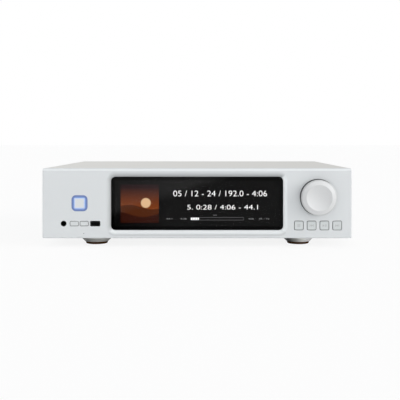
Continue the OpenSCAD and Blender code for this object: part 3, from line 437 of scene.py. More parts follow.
class Groups:
    """Shared shader groups, each built once."""

    made: dict[str, bpy.types.NodeTree] = {}
    fine_detail = 3.0
    fine_roughness = 0.6
    fine_share = 0.6
    broad_scale = 0.014
    broad_detail = 2.0
    mid_tone = 0.5
    bevel_samples = 6
    edge_gain = 3.0

    @classmethod
    def start(cls, name: str, inputs: dict[str, str], outputs: dict[str, str]) -> tuple[Tree, Any, Any]:
        """Opens a group with named sockets.

        Args:
            name: Name of the group.
            inputs: Socket type by input name.
            outputs: Socket type by output name.

        Returns:
            Its tree, the sockets that it is given and the inputs of its result.
        """
        made = bpy.data.node_groups.new(name, "ShaderNodeTree")
        for key, kind in inputs.items():
            made.interface.new_socket(key, in_out="INPUT", socket_type=kind)
        for key, kind in outputs.items():
            made.interface.new_socket(key, in_out="OUTPUT", socket_type=kind)
        cls.made[name] = made
        tree = Tree(made)
        return tree, tree.add("NodeGroupInput").outputs, tree.add("NodeGroupOutput").inputs

    @classmethod
    def surface_grain(cls) -> bpy.types.NodeTree:
        """Fine grain and broad tone: two noises vary a colour, a roughness and a height.

        Returns:
            The group, with inputs Place, Scale, Colour, Contrast, Roughness and Spread.
        """
        if "surface_grain" in cls.made:
            return cls.made["surface_grain"]
        number, vector, tint = "NodeSocketFloat", "NodeSocketVector", "NodeSocketColor"
        tree, given, result = cls.start(
            "surface_grain",
            {"Place": vector, "Scale": number, "Colour": tint, "Contrast": number, "Roughness": number,
             "Spread": number},
            {"Colour": tint, "Roughness": number, "Height": number})
        fine = tree.add("ShaderNodeTexNoise", {
            "Vector": given["Place"], "Scale": given["Scale"], "Detail": cls.fine_detail,
            "Roughness": cls.fine_roughness}).outputs["Fac"]
        broad = tree.add("ShaderNodeTexNoise", {
            "Vector": given["Place"], "Scale": cls.broad_scale, "Detail": cls.broad_detail}).outputs["Fac"]
        tone = tree.plus(tree.times(fine, cls.fine_share), tree.times(broad, 1.0 - cls.fine_share))
        swing = tree.minus(tone, cls.mid_tone)
        bright = tree.plus(1.0, tree.times(swing, given["Contrast"]))
        tree.put(result["Colour"], tree.scaled(given["Colour"], bright))
        tree.put(result["Roughness"], tree.plus(given["Roughness"], tree.times(swing, given["Spread"])))
        tree.put(result["Height"], fine)
        return cls.made["surface_grain"]

    @classmethod
    def soft_edge(cls) -> bpy.types.NodeTree:
        """Broken edge: the surface's normal turns over a small radius at each edge, and a mask marks it for a
        painted highlight.

        Returns:
            The group, with input Radius and outputs Normal and Edge.
        """
        if "soft_edge" in cls.made:
            return cls.made["soft_edge"]
        tree, given, result = cls.start("soft_edge", {"Radius": "NodeSocketFloat"},
                                        {"Normal": "NodeSocketVector", "Edge": "NodeSocketFloat"})
        bevel = tree.add("ShaderNodeBevel", {"Radius": given["Radius"]}, samples=cls.bevel_samples)
        turned = bevel.outputs[0]
        plain = tree.add("ShaderNodeNewGeometry").outputs["Normal"]
        along = tree.vector("DOT_PRODUCT", turned, plain).outputs["Value"]
        tree.put(result["Normal"], turned)
        tree.put(result["Edge"], tree.times(tree.minus(1.0, along), cls.edge_gain, clamp=True))
        return cls.made["soft_edge"]


@dataclass(frozen=True)
class Finish:
    """One surface finish on a principled shader whose colour, roughness and relief vary over the surface."""

    name: str
    slot: Slot
    colour: Colour
    metallic: float = 0.0
    roughness: float = 0.5
    grain: Grain = Grain.EVEN
    grain_mm: float = 0.4
    contrast: float = 0.1
    spread: float = 0.1
    relief_mm: float = 0.004
    relief: float = 0.6
    edge_mm: float = 0.25
    edge_highlight: float = 0.25
    brushed: Triple = (0.03, 1.0, 1.0)
    specular: float = 0.5
    centre_mm: Triple = ORIGIN

    def material(self) -> bpy.types.Material:
        """Builds the material once and gives it again later.

        Returns:
            The finished material.
        """
        known = bpy.data.materials.get(self.name)
        if known is not None:
            return known
        made = bpy.data.materials.new(self.name)
        made.use_nodes = True
        made.node_tree.nodes.clear()
        made.diffuse_color = rgba(self.colour)
        tree = Tree(made.node_tree)
        shader = tree.add("ShaderNodeBsdfPrincipled",
                          {"Metallic": self.metallic, "Specular IOR Level": self.specular})
        self.dress(tree, shader)
        tree.add("ShaderNodeOutputMaterial", {"Surface": shader.outputs[0]})
        return made

    def texture_place(self, tree: Tree) -> Socket:
        """Gives the coordinates in which the grain lies.

        A turned face reads the distance from its axis, and brushed sheet is drawn out along x.

        Args:
            tree: The material's nodes.

        Returns:
            A vector socket.
        """
        if self.grain is Grain.TURNED:
            return tree.add("ShaderNodeCombineXYZ", {"X": tree.radius(self.centre_mm)}).outputs[0]
        if self.grain is Grain.BRUSHED:
            return tree.vector("MULTIPLY", tree.place(), self.brushed).outputs[0]
        return tree.place()

    def colour_source(self, tree: Tree) -> Any:
        """Gives the base colour, a constant here and a pattern in some finishes."""
        return rgba(self.colour)

    def dress(self, tree: Tree, shader: bpy.types.Node) -> None:
        """Links grain, edge and relief to the shader; on metal the edges are painted paler, a painted
        highlight.

        Args:
            tree: The material's nodes.
            shader: Its principled shader.
        """
        grain = tree.shared(Groups.surface_grain(), {
            "Place": self.texture_place(tree), "Scale": 1.0 / self.grain_mm,
            "Colour": self.colour_source(tree), "Contrast": self.contrast, "Roughness": self.roughness,
            "Spread": self.spread})
        edge = tree.shared(Groups.soft_edge(), {"Radius": self.edge_mm * MM})
        shade = grain["Colour"]
        # Metal edges are mixed towards white: a painted highlight along every edge.
        if self.metallic:
            shade = tree.mix(tree.times(edge["Edge"], self.edge_highlight), shade, WHITE)
        bump = tree.add("ShaderNodeBump", {"Strength": self.relief, "Distance": self.relief_mm * MM,
                                           "Height": grain["Height"], "Normal": edge["Normal"]})
        tree.put(shader.inputs["Base Color"], shade)
        tree.put(shader.inputs["Roughness"], grain["Roughness"])
        tree.put(shader.inputs["Normal"], bump.outputs[0])

    def glow(self, tree: Tree, shader: bpy.types.Node, light: Any, strength: float) -> None:
        """Lets the surface shine with a colour of light and its strength."""
        tree.put(shader.inputs["Emission Color"], light)
        tree.put(shader.inputs["Emission Strength"], strength)


@dataclass(frozen=True)
class PaintedBevelShade:
    """Painted shade of one side of the window bevel: share of light painted away at the glass, reach, and
    most that is painted away.
    """

    shade: float
    reach_mm: float
    most: float = 1.0


@dataclass(frozen=True)
class PanelFinish(Finish):
    """Front panel with painted light: painted shade in the openings round the controls, a painted
    highlight on the chamfer and a window bevel painted in four shades.
    """

    glass_lip_mm: float = 4.0
    window_r_mm: float = 6.2
    left: PaintedBevelShade = PaintedBevelShade(0.47, 6.3)
    right: PaintedBevelShade = PaintedBevelShade(-0.56, 6.3)
    top: PaintedBevelShade = PaintedBevelShade(0.38, 8.0, 0.26)
    bottom: PaintedBevelShade = PaintedBevelShade(-0.18, 5.2)
    under_window_shade: float = 0.15
    under_window_shade_at_mm: float = 6.6
    under_window_shade_half_mm: float = 2.2
    corner_mm: float = 4.0
    chamfer_mm: float = 3.1
    # Painted highlight on the top chamfer.
    chamfer_highlight: float = 0.08
    # A darker line along the very top edge of the panel.
    top_line_mm: float = 0.9
    top_line_loss: float = 0.07
    lip_mm: float = 0.35
    depth_mm: float = 0.9
    # Share of its colour left in the openings: painted shade.
    inside: float = 0.10
    boards: tuple[str, str] = ("left_control_board", "right_control_board")

    def opening_shade(self, tree: Tree, x: Socket, y: Socket, z: Socket) -> Socket:
        """Marks the insides of the openings, which lie behind the face and in front of the control boards,
        for their painted shade.

        Args:
            tree: The material's nodes.
            x: Place along the panel.
            y: Depth.
            z: Height.

        Returns:
            1 in the openings and 0 elsewhere.
        """
        deep = tree.over(tree.minus(y, FACE_MM + self.lip_mm), self.depth_mm, clamp=True)
        found: Value = 0.0
        for board in map(Box.of, self.boards):
            across = tree.past(board.half.x, tree.off(x, board.middle.x))
            up = tree.past(board.half.z, tree.off(z, board.middle.z))
            found = tree.plus(found, tree.times(across, up))
        return tree.times(found, deep)

    def bevel(self, tree: Tree, x: Socket, z: Socket) -> Socket:
        """Gives the bevel's painted shade, which grows from its outer edge to the glass.

        The distance from the rounded window is |max(p + r, 0)| - r, with p the distances past its straight
        sides and r its corner radius. Each side has its own painted shade, and a faint painted line of shade
        runs under the window.

        Args:
            tree: The material's nodes.
            x: Place along the panel.
            z: Height.

        Returns:
            The share of light painted away on the bevel, below zero where light is painted on.
        """
        glass = Box.of("display_glass")
        aside = tree.minus(tree.off(x, glass.middle.x), glass.half.x - self.glass_lip_mm)
        above = tree.minus(tree.off(z, glass.middle.z), glass.half.z - self.glass_lip_mm)
        legs = [tree.larger(tree.plus(way, self.window_r_mm), 0.0) for way in (aside, above)]
        far = tree.minus(tree.root(*legs), self.window_r_mm)
        level = tree.plus(0.5, tree.over(tree.minus(above, aside), self.corner_mm), clamp=True)
        on_right, on_top = tree.past(x, glass.middle.x), tree.past(z, glass.middle.z)

        def pick(name: str) -> Socket:
            """Gives a value of the side on which a point lies, blended at the corners.

            Args:
                name: Name of the value.

            Returns:
                The value.
            """
            sides = (self.left, self.right, self.top, self.bottom)
            left, right, top, bottom = (getattr(side, name) for side in sides)
            ends = tree.plus(left, tree.times(on_right, right - left))
            runs = tree.plus(bottom, tree.times(on_top, top - bottom))
            return tree.plus(tree.times(level, runs), tree.times(tree.minus(1.0, level), ends))

        # Painted shade: each bevel side is darkened towards the glass, or lit where its shade is below zero.
        grow = tree.minus(1.0, tree.over(tree.larger(far, 0.0), pick("reach_mm")), clamp=True)
        shade = tree.calc("MINIMUM", tree.times(grow, pick("shade")), pick("most"))
        ridge = tree.minus(1.0, tree.over(tree.off(far, self.under_window_shade_at_mm), self.under_window_shade_half_mm), clamp=True)
        under = tree.times(level, tree.minus(1.0, on_top))
        return tree.plus(shade, tree.times(ridge, tree.times(under, self.under_window_shade)))

    def colour_source(self, tree: Tree) -> Any:
        """Gives the panel's colour times the painted shade of openings and bevel, the painted chamfer
        highlight and a darker top line.

        Args:
            tree: The material's nodes.

        Returns:
            The colour.
        """
        x, y, z = tree.axes(tree.place())
        # The openings are painted dark: painted shade in the recesses round the controls.
        dark = tree.minus(1.0, tree.times(self.opening_shade(tree, x, y, z), 1.0 - self.inside))
        shade = tree.times(dark, tree.minus(1.0, self.bevel(tree, x, z)))
        # Painted highlight: the top chamfer is made brighter.
        crown = tree.past(z, PANEL_BOX.high.z - self.chamfer_mm)
        # The very top strip is darker again.
        top_line = tree.past(z, PANEL_BOX.high.z - self.top_line_mm)
        gain = tree.plus(1.0, tree.times(crown, self.chamfer_highlight))
        gain = tree.minus(gain, tree.times(top_line, self.chamfer_highlight + self.top_line_loss))
        return tree.scaled(self.colour, tree.times(shade, gain))


@dataclass(frozen=True)
class KnobFinish(Finish):
    """Turned knob with painted shade: its foot, close to the panel, and the edge of its rim are painted
    darker than its face.
    """

    foot_mm: float = 9.0
    foot: float = 0.16
    rise: float = 1.5
    edge_band_mm: float = 1.5
    rim_edge_shade: float = 0.16

    def colour_source(self, tree: Tree) -> Any:
        """Gives the knob's colour with painted shade: darker nearer the panel and along the edge of the rim.

        Args:
            tree: The material's nodes.

        Returns:
            The colour.
        """
        # Painted shade: darker towards the panel and on the outer band of the rim.
        depth = tree.axes(tree.place())[1]
        out = tree.over(tree.minus(FACE_MM, depth), self.foot_mm, clamp=True)
        shade = tree.plus(self.foot, tree.times(tree.calc("POWER", out, self.rise), 1.0 - self.foot))
        band = tree.past(tree.radius(self.centre_mm), Box.of("volume_knob").half.x - self.edge_band_mm)
        return tree.scaled(self.colour, tree.times(shade, tree.minus(1.0, tree.times(band, self.rim_edge_shade))))


@dataclass(frozen=True)
class FootFinish(Finish):
    """Turned foot with painted shade: its flanks are painted darker than its front and back, one more than
    the other.
    """

    flank: float = 0.15
    rise: float = 0.8
    lean: float = 0.5
    least: float = 0.04
    core_mm: float = 0.1

    def colour_source(self, tree: Tree) -> Any:
        """Gives the foot's colour with painted shade by the angle about its axis, painted brighter to the
        right.

        Args:
            tree: The material's nodes.

        Returns:
            The colour.
        """
        # Painted shade and highlight: dark flanks, a brighter front and back, and a lean to the right.
        x, y, _ = tree.axes(tree.place(self.centre_mm))
        far = tree.larger(tree.root(x, y), self.core_mm)
        front = tree.calc("POWER", tree.over(tree.calc("ABSOLUTE", y), far), self.rise)
        shade = tree.plus(self.flank, tree.times(front, 1.0 - self.flank))
        side = tree.larger(tree.plus(1.0, tree.times(tree.over(x, far), self.lean)), self.least)
        return tree.scaled(self.colour, tree.times(shade, side))


@dataclass(frozen=True)
class KeyFinish(Finish):
    """Key cap with painted shade: a darker upper edge on its face, and dark sides that lie in the gap round
    it.
    """

    inside: float = 0.10
    lip_mm: float = 0.1
    depth_mm: float = 0.5
    upper_shade: float = 0.45
    upper_shade_mm: float = 0.6
    top_mm: float = 0.0

    def colour_source(self, tree: Tree) -> Any:
        """Gives the face colour with painted shade along the upper edge and from just behind the panel's
        face.

        Args:
            tree: The material's nodes.

        Returns:
            The colour.
        """
        # Painted shade: the sides behind the face are dark so the gap reads as shadow, and the upper edge is
        # darker.
        _, depth, height = tree.axes(tree.place())
        deep = tree.over(tree.minus(depth, FACE_MM + self.lip_mm), self.depth_mm, clamp=True)
        upper = tree.past(height, self.top_mm - self.upper_shade_mm)
        face = tree.mix(tree.times(upper, self.upper_shade), rgba(self.colour), BLACK)
        return tree.mix(deep, face, rgba(toned(self.colour, self.inside)))


@dataclass(frozen=True)
class ButtonFinish(KeyFinish):
    """Power button: the ring's light is painted on, a tint at its edge and a pale glowing band just inside
    it.
    """

    upper_shade: float = 0.0
    half_mm: float = 8.0
    tint: Colour = (0.28, 0.56, 1.0)
    light: Colour = (0.05, 0.12, 1.0)
    light_mm: float = 2.7
    strength: float = 0.15

    def nearness(self, tree: Tree) -> Socket:
        """Gives 1 at the edge and 0 inside, from the larger of the two distances from the middle.

        Args:
            tree: The material's nodes.

        Returns:
            The nearness.
        """
        x, _, z = tree.axes(tree.place(self.centre_mm))
        reach = tree.larger(tree.calc("ABSOLUTE", x), tree.calc("ABSOLUTE", z))
        return tree.over(tree.minus(reach, self.half_mm - self.light_mm), self.light_mm, clamp=True)

    def colour_source(self, tree: Tree) -> Any:
        """Gives the key's colour with the ring's light painted on, by the square of the nearness to the edge.

        Args:
            tree: The material's nodes.

        Returns:
            The colour.
        """
        near = self.nearness(tree)
        # Painted light of the ring: its tint on the key's edge.
        tinted = rgba(toned(self.colour, *self.tint))
        return tree.mix(tree.times(near, near), super().colour_source(tree), tinted)

    def dress(self, tree: Tree, shader: bpy.types.Node) -> None:
        """Adds the ring's painted glow, strongest half way into the tinted edge: 4 n (1 - n) of the nearness
        n.

        Args:
            tree: The material's nodes.
            shader: Its principled shader.
        """
        super().dress(tree, shader)
        near = self.nearness(tree)
        hump = tree.times(tree.times(near, tree.minus(1.0, near)), 4.0)
        self.glow(tree, shader, tree.mix(hump, BLACK, rgba(self.light)), self.strength)


@dataclass(frozen=True)
class BoardFinish(Finish):
    """Solder-masked board: straight tracks show as lighter lines in the mask."""

    track_mm: float = 2.4
    track_share: float = 0.09
    track_gain: float = 1.7

    def colour_source(self, tree: Tree) -> Any:
        """Gives mask and tracks: the joints of a brick pattern are the tracks.

        Args:
            tree: The material's nodes.

        Returns:
            The colour.
        """
        mask, track = rgba(self.colour), rgba(toned(self.colour, self.track_gain))
        bricks = {"Vector": tree.place(), "Scale": 1.0 / self.track_mm, "Mortar Size": self.track_share,
                  "Color1": mask, "Color2": mask, "Mortar": track}
        return tree.add("ShaderNodeTexBrick", bricks).outputs[0]


@dataclass(frozen=True)
class CableFinish(Finish):
    """Flat cable: fine stripes run along its conductors."""

    stripe_mm: float = 1.0
    conductor: Colour = (0.35, 0.36, 0.37)

    def colour_source(self, tree: Tree) -> Any:
        """Gives pale film and grey conductors: a sine of x turns one into the other.

        Args:
            tree: The material's nodes.

        Returns:
            The colour.
        """
        x, _, _ = tree.axes(tree.place())
        wave = tree.calc("SINE", tree.times(x, 2 * math.pi / self.stripe_mm))
        return tree.mix(tree.past(wave, 0.0), rgba(self.colour), rgba(self.conductor))


@dataclass(frozen=True)
class WindingFinish(Finish):
    """Varnished winding: turns lie side by side round the ring."""

    turns: int = 150
    gap_tone: float = 0.35

    def colour_source(self, tree: Tree) -> Any:
        """Gives dark and light turns: a sine of the angle round the ring's axis, moved to run from 0 to 1.

        Args:
            tree: The material's nodes.

        Returns:
            The colour.
        """
        x, y, _ = tree.axes(tree.place(self.centre_mm))
        wave = tree.calc("SINE", tree.times(tree.calc("ARCTAN2", y, x), self.turns))
        share = tree.times(tree.plus(wave, 1.0), 0.5)
        return tree.mix(share, rgba(toned(self.colour, self.gap_tone)), rgba(self.colour))


@dataclass(frozen=True)
class InsulatorFinish(Finish):
    """Insulators of the audio sockets, told apart by colour from left to right."""

    red: Colour = (0.42, 0.018, 0.016)
    red_mm: float = 14.0
    dark: Colour = (0.02, 0.02, 0.022)
    dark_mm: float = 20.0

    def colour_source(self, tree: Tree) -> Any:
        """Gives each socket its colour: a step in x, measured from an end of the row, starts each one.

        Args:
            tree: The material's nodes.

        Returns:
            The colour.
        """
        row = Box.of("rca_insulators")
        x, _, _ = tree.axes(tree.place())
        shade = tree.mix(tree.past(x, row.low.x + self.red_mm), rgba(self.colour), rgba(self.red))
        return tree.mix(tree.past(x, row.high.x - self.dark_mm), shade, rgba(self.dark))


@dataclass(frozen=True)
class GlassFinish(Finish):
    """Coated glass: a clear slab with a faint smear of roughness and a painted reflection, a soft slanting
    glow.
    """

    index: float = 1.05
    base: float = 0.0034
    lit: float = 0.0052
    gain: float = 0.0040
    start_mm: tuple[float, float] = (4.0, 25.6)
    base_grow_mm: float = 80.0
    lit_grow_mm: float = 90.0
    slope: float = 0.333
    soft_mm: float = 11.0

    def painted_reflection(self, tree: Tree) -> Socket:
        """Gives the painted reflection on the glass, a faint glow.

        Two even fields of painted light meet along a slanting line. The one above it grows to the right, and
        the one below it fades out towards the lower left corner.

        Args:
            tree: The material's nodes.

        Returns:
            The light's strength.
        """
        pane = Box.of("display_glass")
        x, _, z = tree.axes(tree.place())
        along = tree.minus(x, pane.low.x + self.start_mm[0])
        above = tree.minus(tree.minus(z, pane.low.z + self.start_mm[1]), tree.times(along, self.slope))
        side = tree.plus(0.5, tree.over(above, self.soft_mm), clamp=True)
        below = tree.times(tree.over(along, self.base_grow_mm, clamp=True), self.base)
        upper = tree.plus(self.lit, tree.times(tree.over(along, self.lit_grow_mm, clamp=True), self.gain))
        return tree.plus(tree.times(tree.minus(1.0, side), below), tree.times(side, upper))

    def dress(self, tree: Tree, shader: bpy.types.Node) -> None:
        """Sets the clear body, varies the polish by a broad noise and adds the painted reflection as a glow.

        Args:
            tree: The material's nodes.
            shader: Its principled shader.
        """
        smear = tree.add("ShaderNodeTexNoise", {"Vector": tree.place(), "Scale": 1.0 / self.grain_mm})
        light = self.painted_reflection(tree)
        shade = tree.add("ShaderNodeCombineColor", {0: light, 1: light, 2: light}).outputs[0]
        tree.put(shader.inputs["Base Color"], rgba(self.colour))
        tree.put(shader.inputs["Transmission Weight"], 1.0)
        tree.put(shader.inputs["IOR"], self.index)
        tree.put(shader.inputs["Roughness"], tree.times(smear.outputs["Fac"], self.spread))
        # The painted reflection glows from the glass itself.
        self.glow(tree, shader, shade, 1.0)


@dataclass(frozen=True)
class GlowFinish(Finish):
    """Lit marks of the display, with the faint mesh of its dots."""

    unlit: Colour = (0.0, 0.0, 0.0)
    strength: float = 1.0

    def light_source(self, tree: Tree) -> Any:
        """Gives the light's colour, which a fine noise dims a little."""
        dots = tree.add("ShaderNodeTexNoise", {"Vector": tree.place(), "Scale": 1.0 / self.grain_mm})
        return tree.mix(tree.times(dots.outputs["Fac"], self.contrast), rgba(self.colour), BLACK)

    def dress(self, tree: Tree, shader: bpy.types.Node) -> None:
        """Sets the unlit surface and adds the light.

        Args:
            tree: The material's nodes.
            shader: Its principled shader.
        """
        tree.put(shader.inputs["Base Color"], rgba(self.unlit))
        tree.put(shader.inputs["Roughness"], self.roughness)
        self.glow(tree, shader, self.light_source(tree), self.strength)


@dataclass(frozen=True)
class RingGlowFinish(GlowFinish):
    """Light guide: deep colour at its outer edge and pale light next to the button."""

    unlit: Colour = (0.02, 0.03, 0.05)
    inner: Colour = (1.0, 1.0, 1.0)
    turn: float = 0.55

    def light_source(self, tree: Tree) -> Any:
        """Runs the light across the ring by its V coordinate.

        Args:
            tree: The material's nodes.

        Returns:
            The colour.
        """
        _, across, _ = tree.spread_uv()
        ramp = tree.add("ShaderNodeValToRGB", {0: across})
        outer, inner = ramp.color_ramp.elements
        outer.position = self.turn
        outer.color = rgba(self.colour)
        inner.position = 1.0
        inner.color = rgba(self.inner)
        return ramp.outputs[0]


@dataclass(frozen=True)
class Band:
    """Rolling band of the picture: its level and swing as shares of the height, its waves and their start."""

    level: float
    swing: float
    waves: float
    start: float


@dataclass(frozen=True)
class PictureFinish(GlowFinish):
    """Picture on the display: a low disc over rolling bands in warm dark tones."""

    sky: Colour = (0.018, 0.004, 0.005)
    sky_foot: float = 0.30
    sky_rate: float = 1.6
    disc: Colour = (0.90, 0.58, 0.32)
    disc_at: tuple[float, float] = (0.66, 0.52)
    disc_r: float = 0.14
    disc_edge: float = 40.0
    far_band: Band = Band(0.42, 0.06, 5.2, 0.4)
    far_tone: float = 0.32
    near_band: Band = Band(0.24, 0.08, 4.1, 2.3)
    near: Colour = (0.034, 0.0045, 0.001)
    band_edge: float = 60.0

    def light_source(self, tree: Tree) -> Any:
        """Paints sky, disc and two bands from the plate's UV.

        The sky fades from dark above to the finish's colour below. The disc is a step of the distance from
        its centre, and each band is a step of V against a sine of U.

        Args:
            tree: The material's nodes.

        Returns:
            The colour.
        """
        u, v, _ = tree.spread_uv()
        dusk = tree.times(tree.minus(v, self.sky_foot), self.sky_rate, clamp=True)
        shade = tree.mix(dusk, rgba(self.colour), rgba(self.sky))
        reach = tree.root(*(tree.minus(axis, at) for axis, at in zip((u, v), self.disc_at)))
        shade = tree.mix(tree.times(tree.minus(self.disc_r, reach), self.disc_edge, clamp=True), shade,
                         rgba(self.disc))
        bands = ((self.far_band, toned(self.colour, self.far_tone)), (self.near_band, self.near))
        for band, colour in bands:
            wave = tree.calc("SINE", tree.plus(tree.times(u, band.waves), band.start))
            edge = tree.plus(band.level, tree.times(wave, band.swing))
            under = tree.times(tree.minus(edge, v), self.band_edge, clamp=True)
            shade = tree.mix(under, shade, rgba(colour))
        return shade


# Finishes
SILVER = (0.735, 0.757, 0.768)
BLAST = {"metallic": 0.5, "roughness": 0.50, "grain_mm": 0.35, "contrast": 0.03, "spread": 0.06,
         "relief_mm": 0.003, "edge_mm": 0.35}
LIT = {"roughness": 0.4, "grain_mm": 0.25, "contrast": 0.08, "specular": 0.02}
PRINT = {"grain_mm": 0.1, "contrast": 0.1, "spread": 0.1, "relief_mm": 0.001, "edge_mm": 0.01}
CASE = Finish("blasted_aluminium", Slot.CASE, SILVER, **BLAST)
PANEL = PanelFinish("front_aluminium", Slot.CASE, SILVER, **BLAST)
# Darker and warmer than the panel: partly its own sheet, partly painted shade of the top.
COVER = Finish("cover_aluminium", Slot.CASE, (0.707, 0.697, 0.667), **BLAST)
KEY = KeyFinish("key_aluminium", Slot.CASE, (0.665, 0.695, 0.698), **BLAST, top_mm=Box.of("menu_key").high.z)
SELECT = KeyFinish("select_aluminium", Slot.CASE, (0.715, 0.738, 0.745), **BLAST,
                   top_mm=Box.of("select_key_1").high.z)
BUTTON = ButtonFinish("button_aluminium", Slot.CASE, SILVER, **BLAST,
                      centre_mm=tuple(Box.of("power_button").middle))
KNOB = KnobFinish("knob_aluminium", Slot.TURNED, (0.706, 0.711, 0.716), metallic=0.50, roughness=0.40,
                  grain=Grain.TURNED, grain_mm=0.15, contrast=0.03, spread=0.06, relief_mm=0.001, edge_mm=0.4,
                  centre_mm=tuple(Box.of("volume_knob").middle))
# Left and right feet are one finish lit two ways: the right ones are a brighter copy with stronger painted
# shade.
LEFT_FOOT = FootFinish("left_foot_aluminium", Slot.TURNED, (0.545, 0.545, 0.528), metallic=0.9,
                       roughness=0.32, grain_mm=0.25, contrast=0.04, spread=0.08, relief_mm=0.003,
                       edge_mm=0.3)
RIGHT_FOOT = replace(LEFT_FOOT, name="right_foot_aluminium", colour=(0.765, 0.765, 0.740), lean=1.19)
STEEL = Finish("zinc_plated_steel", Slot.STEEL, (0.60, 0.61, 0.62), metallic=1.0, roughness=0.34,
               grain=Grain.BRUSHED, grain_mm=0.25, contrast=0.12, spread=0.12, relief_mm=0.003, edge_mm=0.15)
FOAM = Finish("foam", Slot.FOAM, (0.004, 0.004, 0.004), roughness=0.95, grain_mm=0.5, contrast=0.5,
              spread=0.05, relief_mm=0.06, edge_mm=0.2, specular=0.02)
PLASTIC = Finish("moulded_black", Slot.PLASTIC, (0.0045, 0.0045, 0.005), roughness=0.5, grain_mm=0.45,
                 contrast=0.25, spread=0.12, relief_mm=0.008, edge_mm=0.06, specular=0.12)
PAD = Finish("pad_rubber", Slot.PAD, (0.070, 0.026, 0.005), roughness=0.75, grain_mm=0.6, contrast=0.35,
             spread=0.1, relief_mm=0.03, edge_mm=0.3, specular=0.02)
BRASS = Finish("plated_brass", Slot.BRASS, (0.78, 0.58, 0.24), metallic=1.0, roughness=0.22,
               grain=Grain.BRUSHED, grain_mm=0.2, contrast=0.08, spread=0.08, relief_mm=0.002, edge_mm=0.12)
SCREEN = Finish("display_face", Slot.SCREEN, (0.0012, 0.0012, 0.0013), roughness=0.4, grain_mm=0.3,
                contrast=0.3, spread=0.1, relief_mm=0.001, edge_mm=0.1, specular=0.02)
BOARD = BoardFinish("solder_mask", Slot.BOARD, (0.020, 0.105, 0.045), roughness=0.38, grain_mm=1.5,
                    contrast=0.1, spread=0.08, relief_mm=0.004, edge_mm=0.1)
CABLE = CableFinish("flat_cable", Slot.CABLE, (0.78, 0.78, 0.75), roughness=0.4, grain_mm=1.0, contrast=0.05,
                    spread=0.05, relief_mm=0.002, edge_mm=0.05)
WINDING = WindingFinish("varnished_winding", Slot.WINDING, (0.30, 0.12, 0.035), roughness=0.35, grain_mm=0.8,
                        contrast=0.1, spread=0.1, relief_mm=0.02, edge_mm=0.1,
                        centre_mm=tuple(Box.of("transformer").middle))
INSULATOR = InsulatorFinish("socket_insulator", Slot.INSULATOR, (0.72, 0.70, 0.66), roughness=0.4,
                            grain_mm=0.4, contrast=0.05, spread=0.08, relief_mm=0.003, edge_mm=0.15)
GLASS = GlassFinish("dark_glass", Slot.GLASS, (0.90, 0.90, 0.90), grain_mm=30.0, spread=0.02, specular=0.02)
GUIDE = RingGlowFinish("blue_light_guide", Slot.LIGHT, (0.130, 0.187, 0.405), roughness=0.3,
                       inner=(0.19, 0.28, 0.58), strength=0.95)
INK = Finish("grey_ink", Slot.CASE, (0.50, 0.51, 0.515), roughness=0.6, **PRINT)
WHITE_INK = Finish("white_ink", Slot.PLASTIC, (0.78, 0.78, 0.78), roughness=0.55, **PRINT)
WHITE_MARK = GlowFinish("screen_white", Slot.SCREEN, (1.0, 1.0, 1.0), **LIT, strength=1.45)
DIM_MARK = GlowFinish("screen_grey", Slot.SCREEN, (0.42, 0.42, 0.43), **LIT, strength=0.95)
LINE_MARK = GlowFinish("screen_line", Slot.SCREEN, (0.42, 0.42, 0.43), **LIT, strength=0.42)
PICTURE = PictureFinish("screen_picture", Slot.SCREEN, (0.27, 0.058, 0.009), **LIT, strength=0.9)
CONTACT = Finish("contact_gold", Slot.BRASS, (0.80, 0.60, 0.24), metallic=1.0, roughness=0.25,
                 grain=Grain.BRUSHED, grain_mm=0.1, contrast=0.05, spread=0.06, relief_mm=0.001, edge_mm=0.02)


# Assemblies
def settle(piece: bpy.types.Object, body: Body) -> bpy.types.Object:
    """Makes a new piece ride on its body and logs it.

    Args:
        piece: The piece.
        body: The body that carries it.

    Returns:
        The same piece.
    """
    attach(piece, body.value)
    LOG.info("piece %s rides on %s", piece.name, body.value)
    return piece


@dataclass
class CarriedNodes:
    """Nodes of the frame that show as they are, each in the finish of its slot or in one of its own."""

    plain: tuple[Finish, ...] = (CASE, STEEL, FOAM, PLASTIC, PAD, BRASS, SCREEN, BOARD, CABLE, GLASS, GUIDE,
                                 WINDING, INSULATOR)
    keys: tuple[str, ...] = ("menu_key", "previous_key", "play_key", "next_key")
    selects: tuple[str, ...] = ("select_key_1", "select_key_2")
    covers: tuple[str, ...] = ("top_cover", "side_panel_left", "side_panel_right")
    feet: tuple[str, ...] = ("foot_front_left", "foot_front_right", "foot_rear_left", "foot_rear_right")

    def foot_finish(self, foot: str) -> Finish:
        """Gives a foot the painted shade about its own axis, which is stronger on the right.

        Args:
            foot: Node of the foot.

        Returns:
            Its finish.
        """
        centre = Box.of(foot).middle
        side = RIGHT_FOOT if centre.x > PANEL_BOX.middle.x else LEFT_FOOT
        return replace(side, name=f"{foot}_aluminium", centre_mm=tuple(centre))

    def dress(self) -> None:
        """Gives every node its finish."""
        by_slot = {finish.slot: finish for finish in self.plain}
        own = {"volume_knob": KNOB, "front_panel": PANEL, "power_button": BUTTON,
               **dict.fromkeys(self.keys, KEY), **dict.fromkeys(self.selects, SELECT),
               **dict.fromkeys(self.covers, COVER), **{foot: self.foot_finish(foot) for foot in self.feet}}
        for row in frame["record"]["subparts"]:
            node = frame["nodes"][row["node"]]
            finish = own.get(row["node"]) or by_slot[Slot(row["material_slot"])]
            node.data.materials.clear()
            node.data.materials.append(finish.material())
            LOG.info("node %s in %s", row["node"], finish.name)


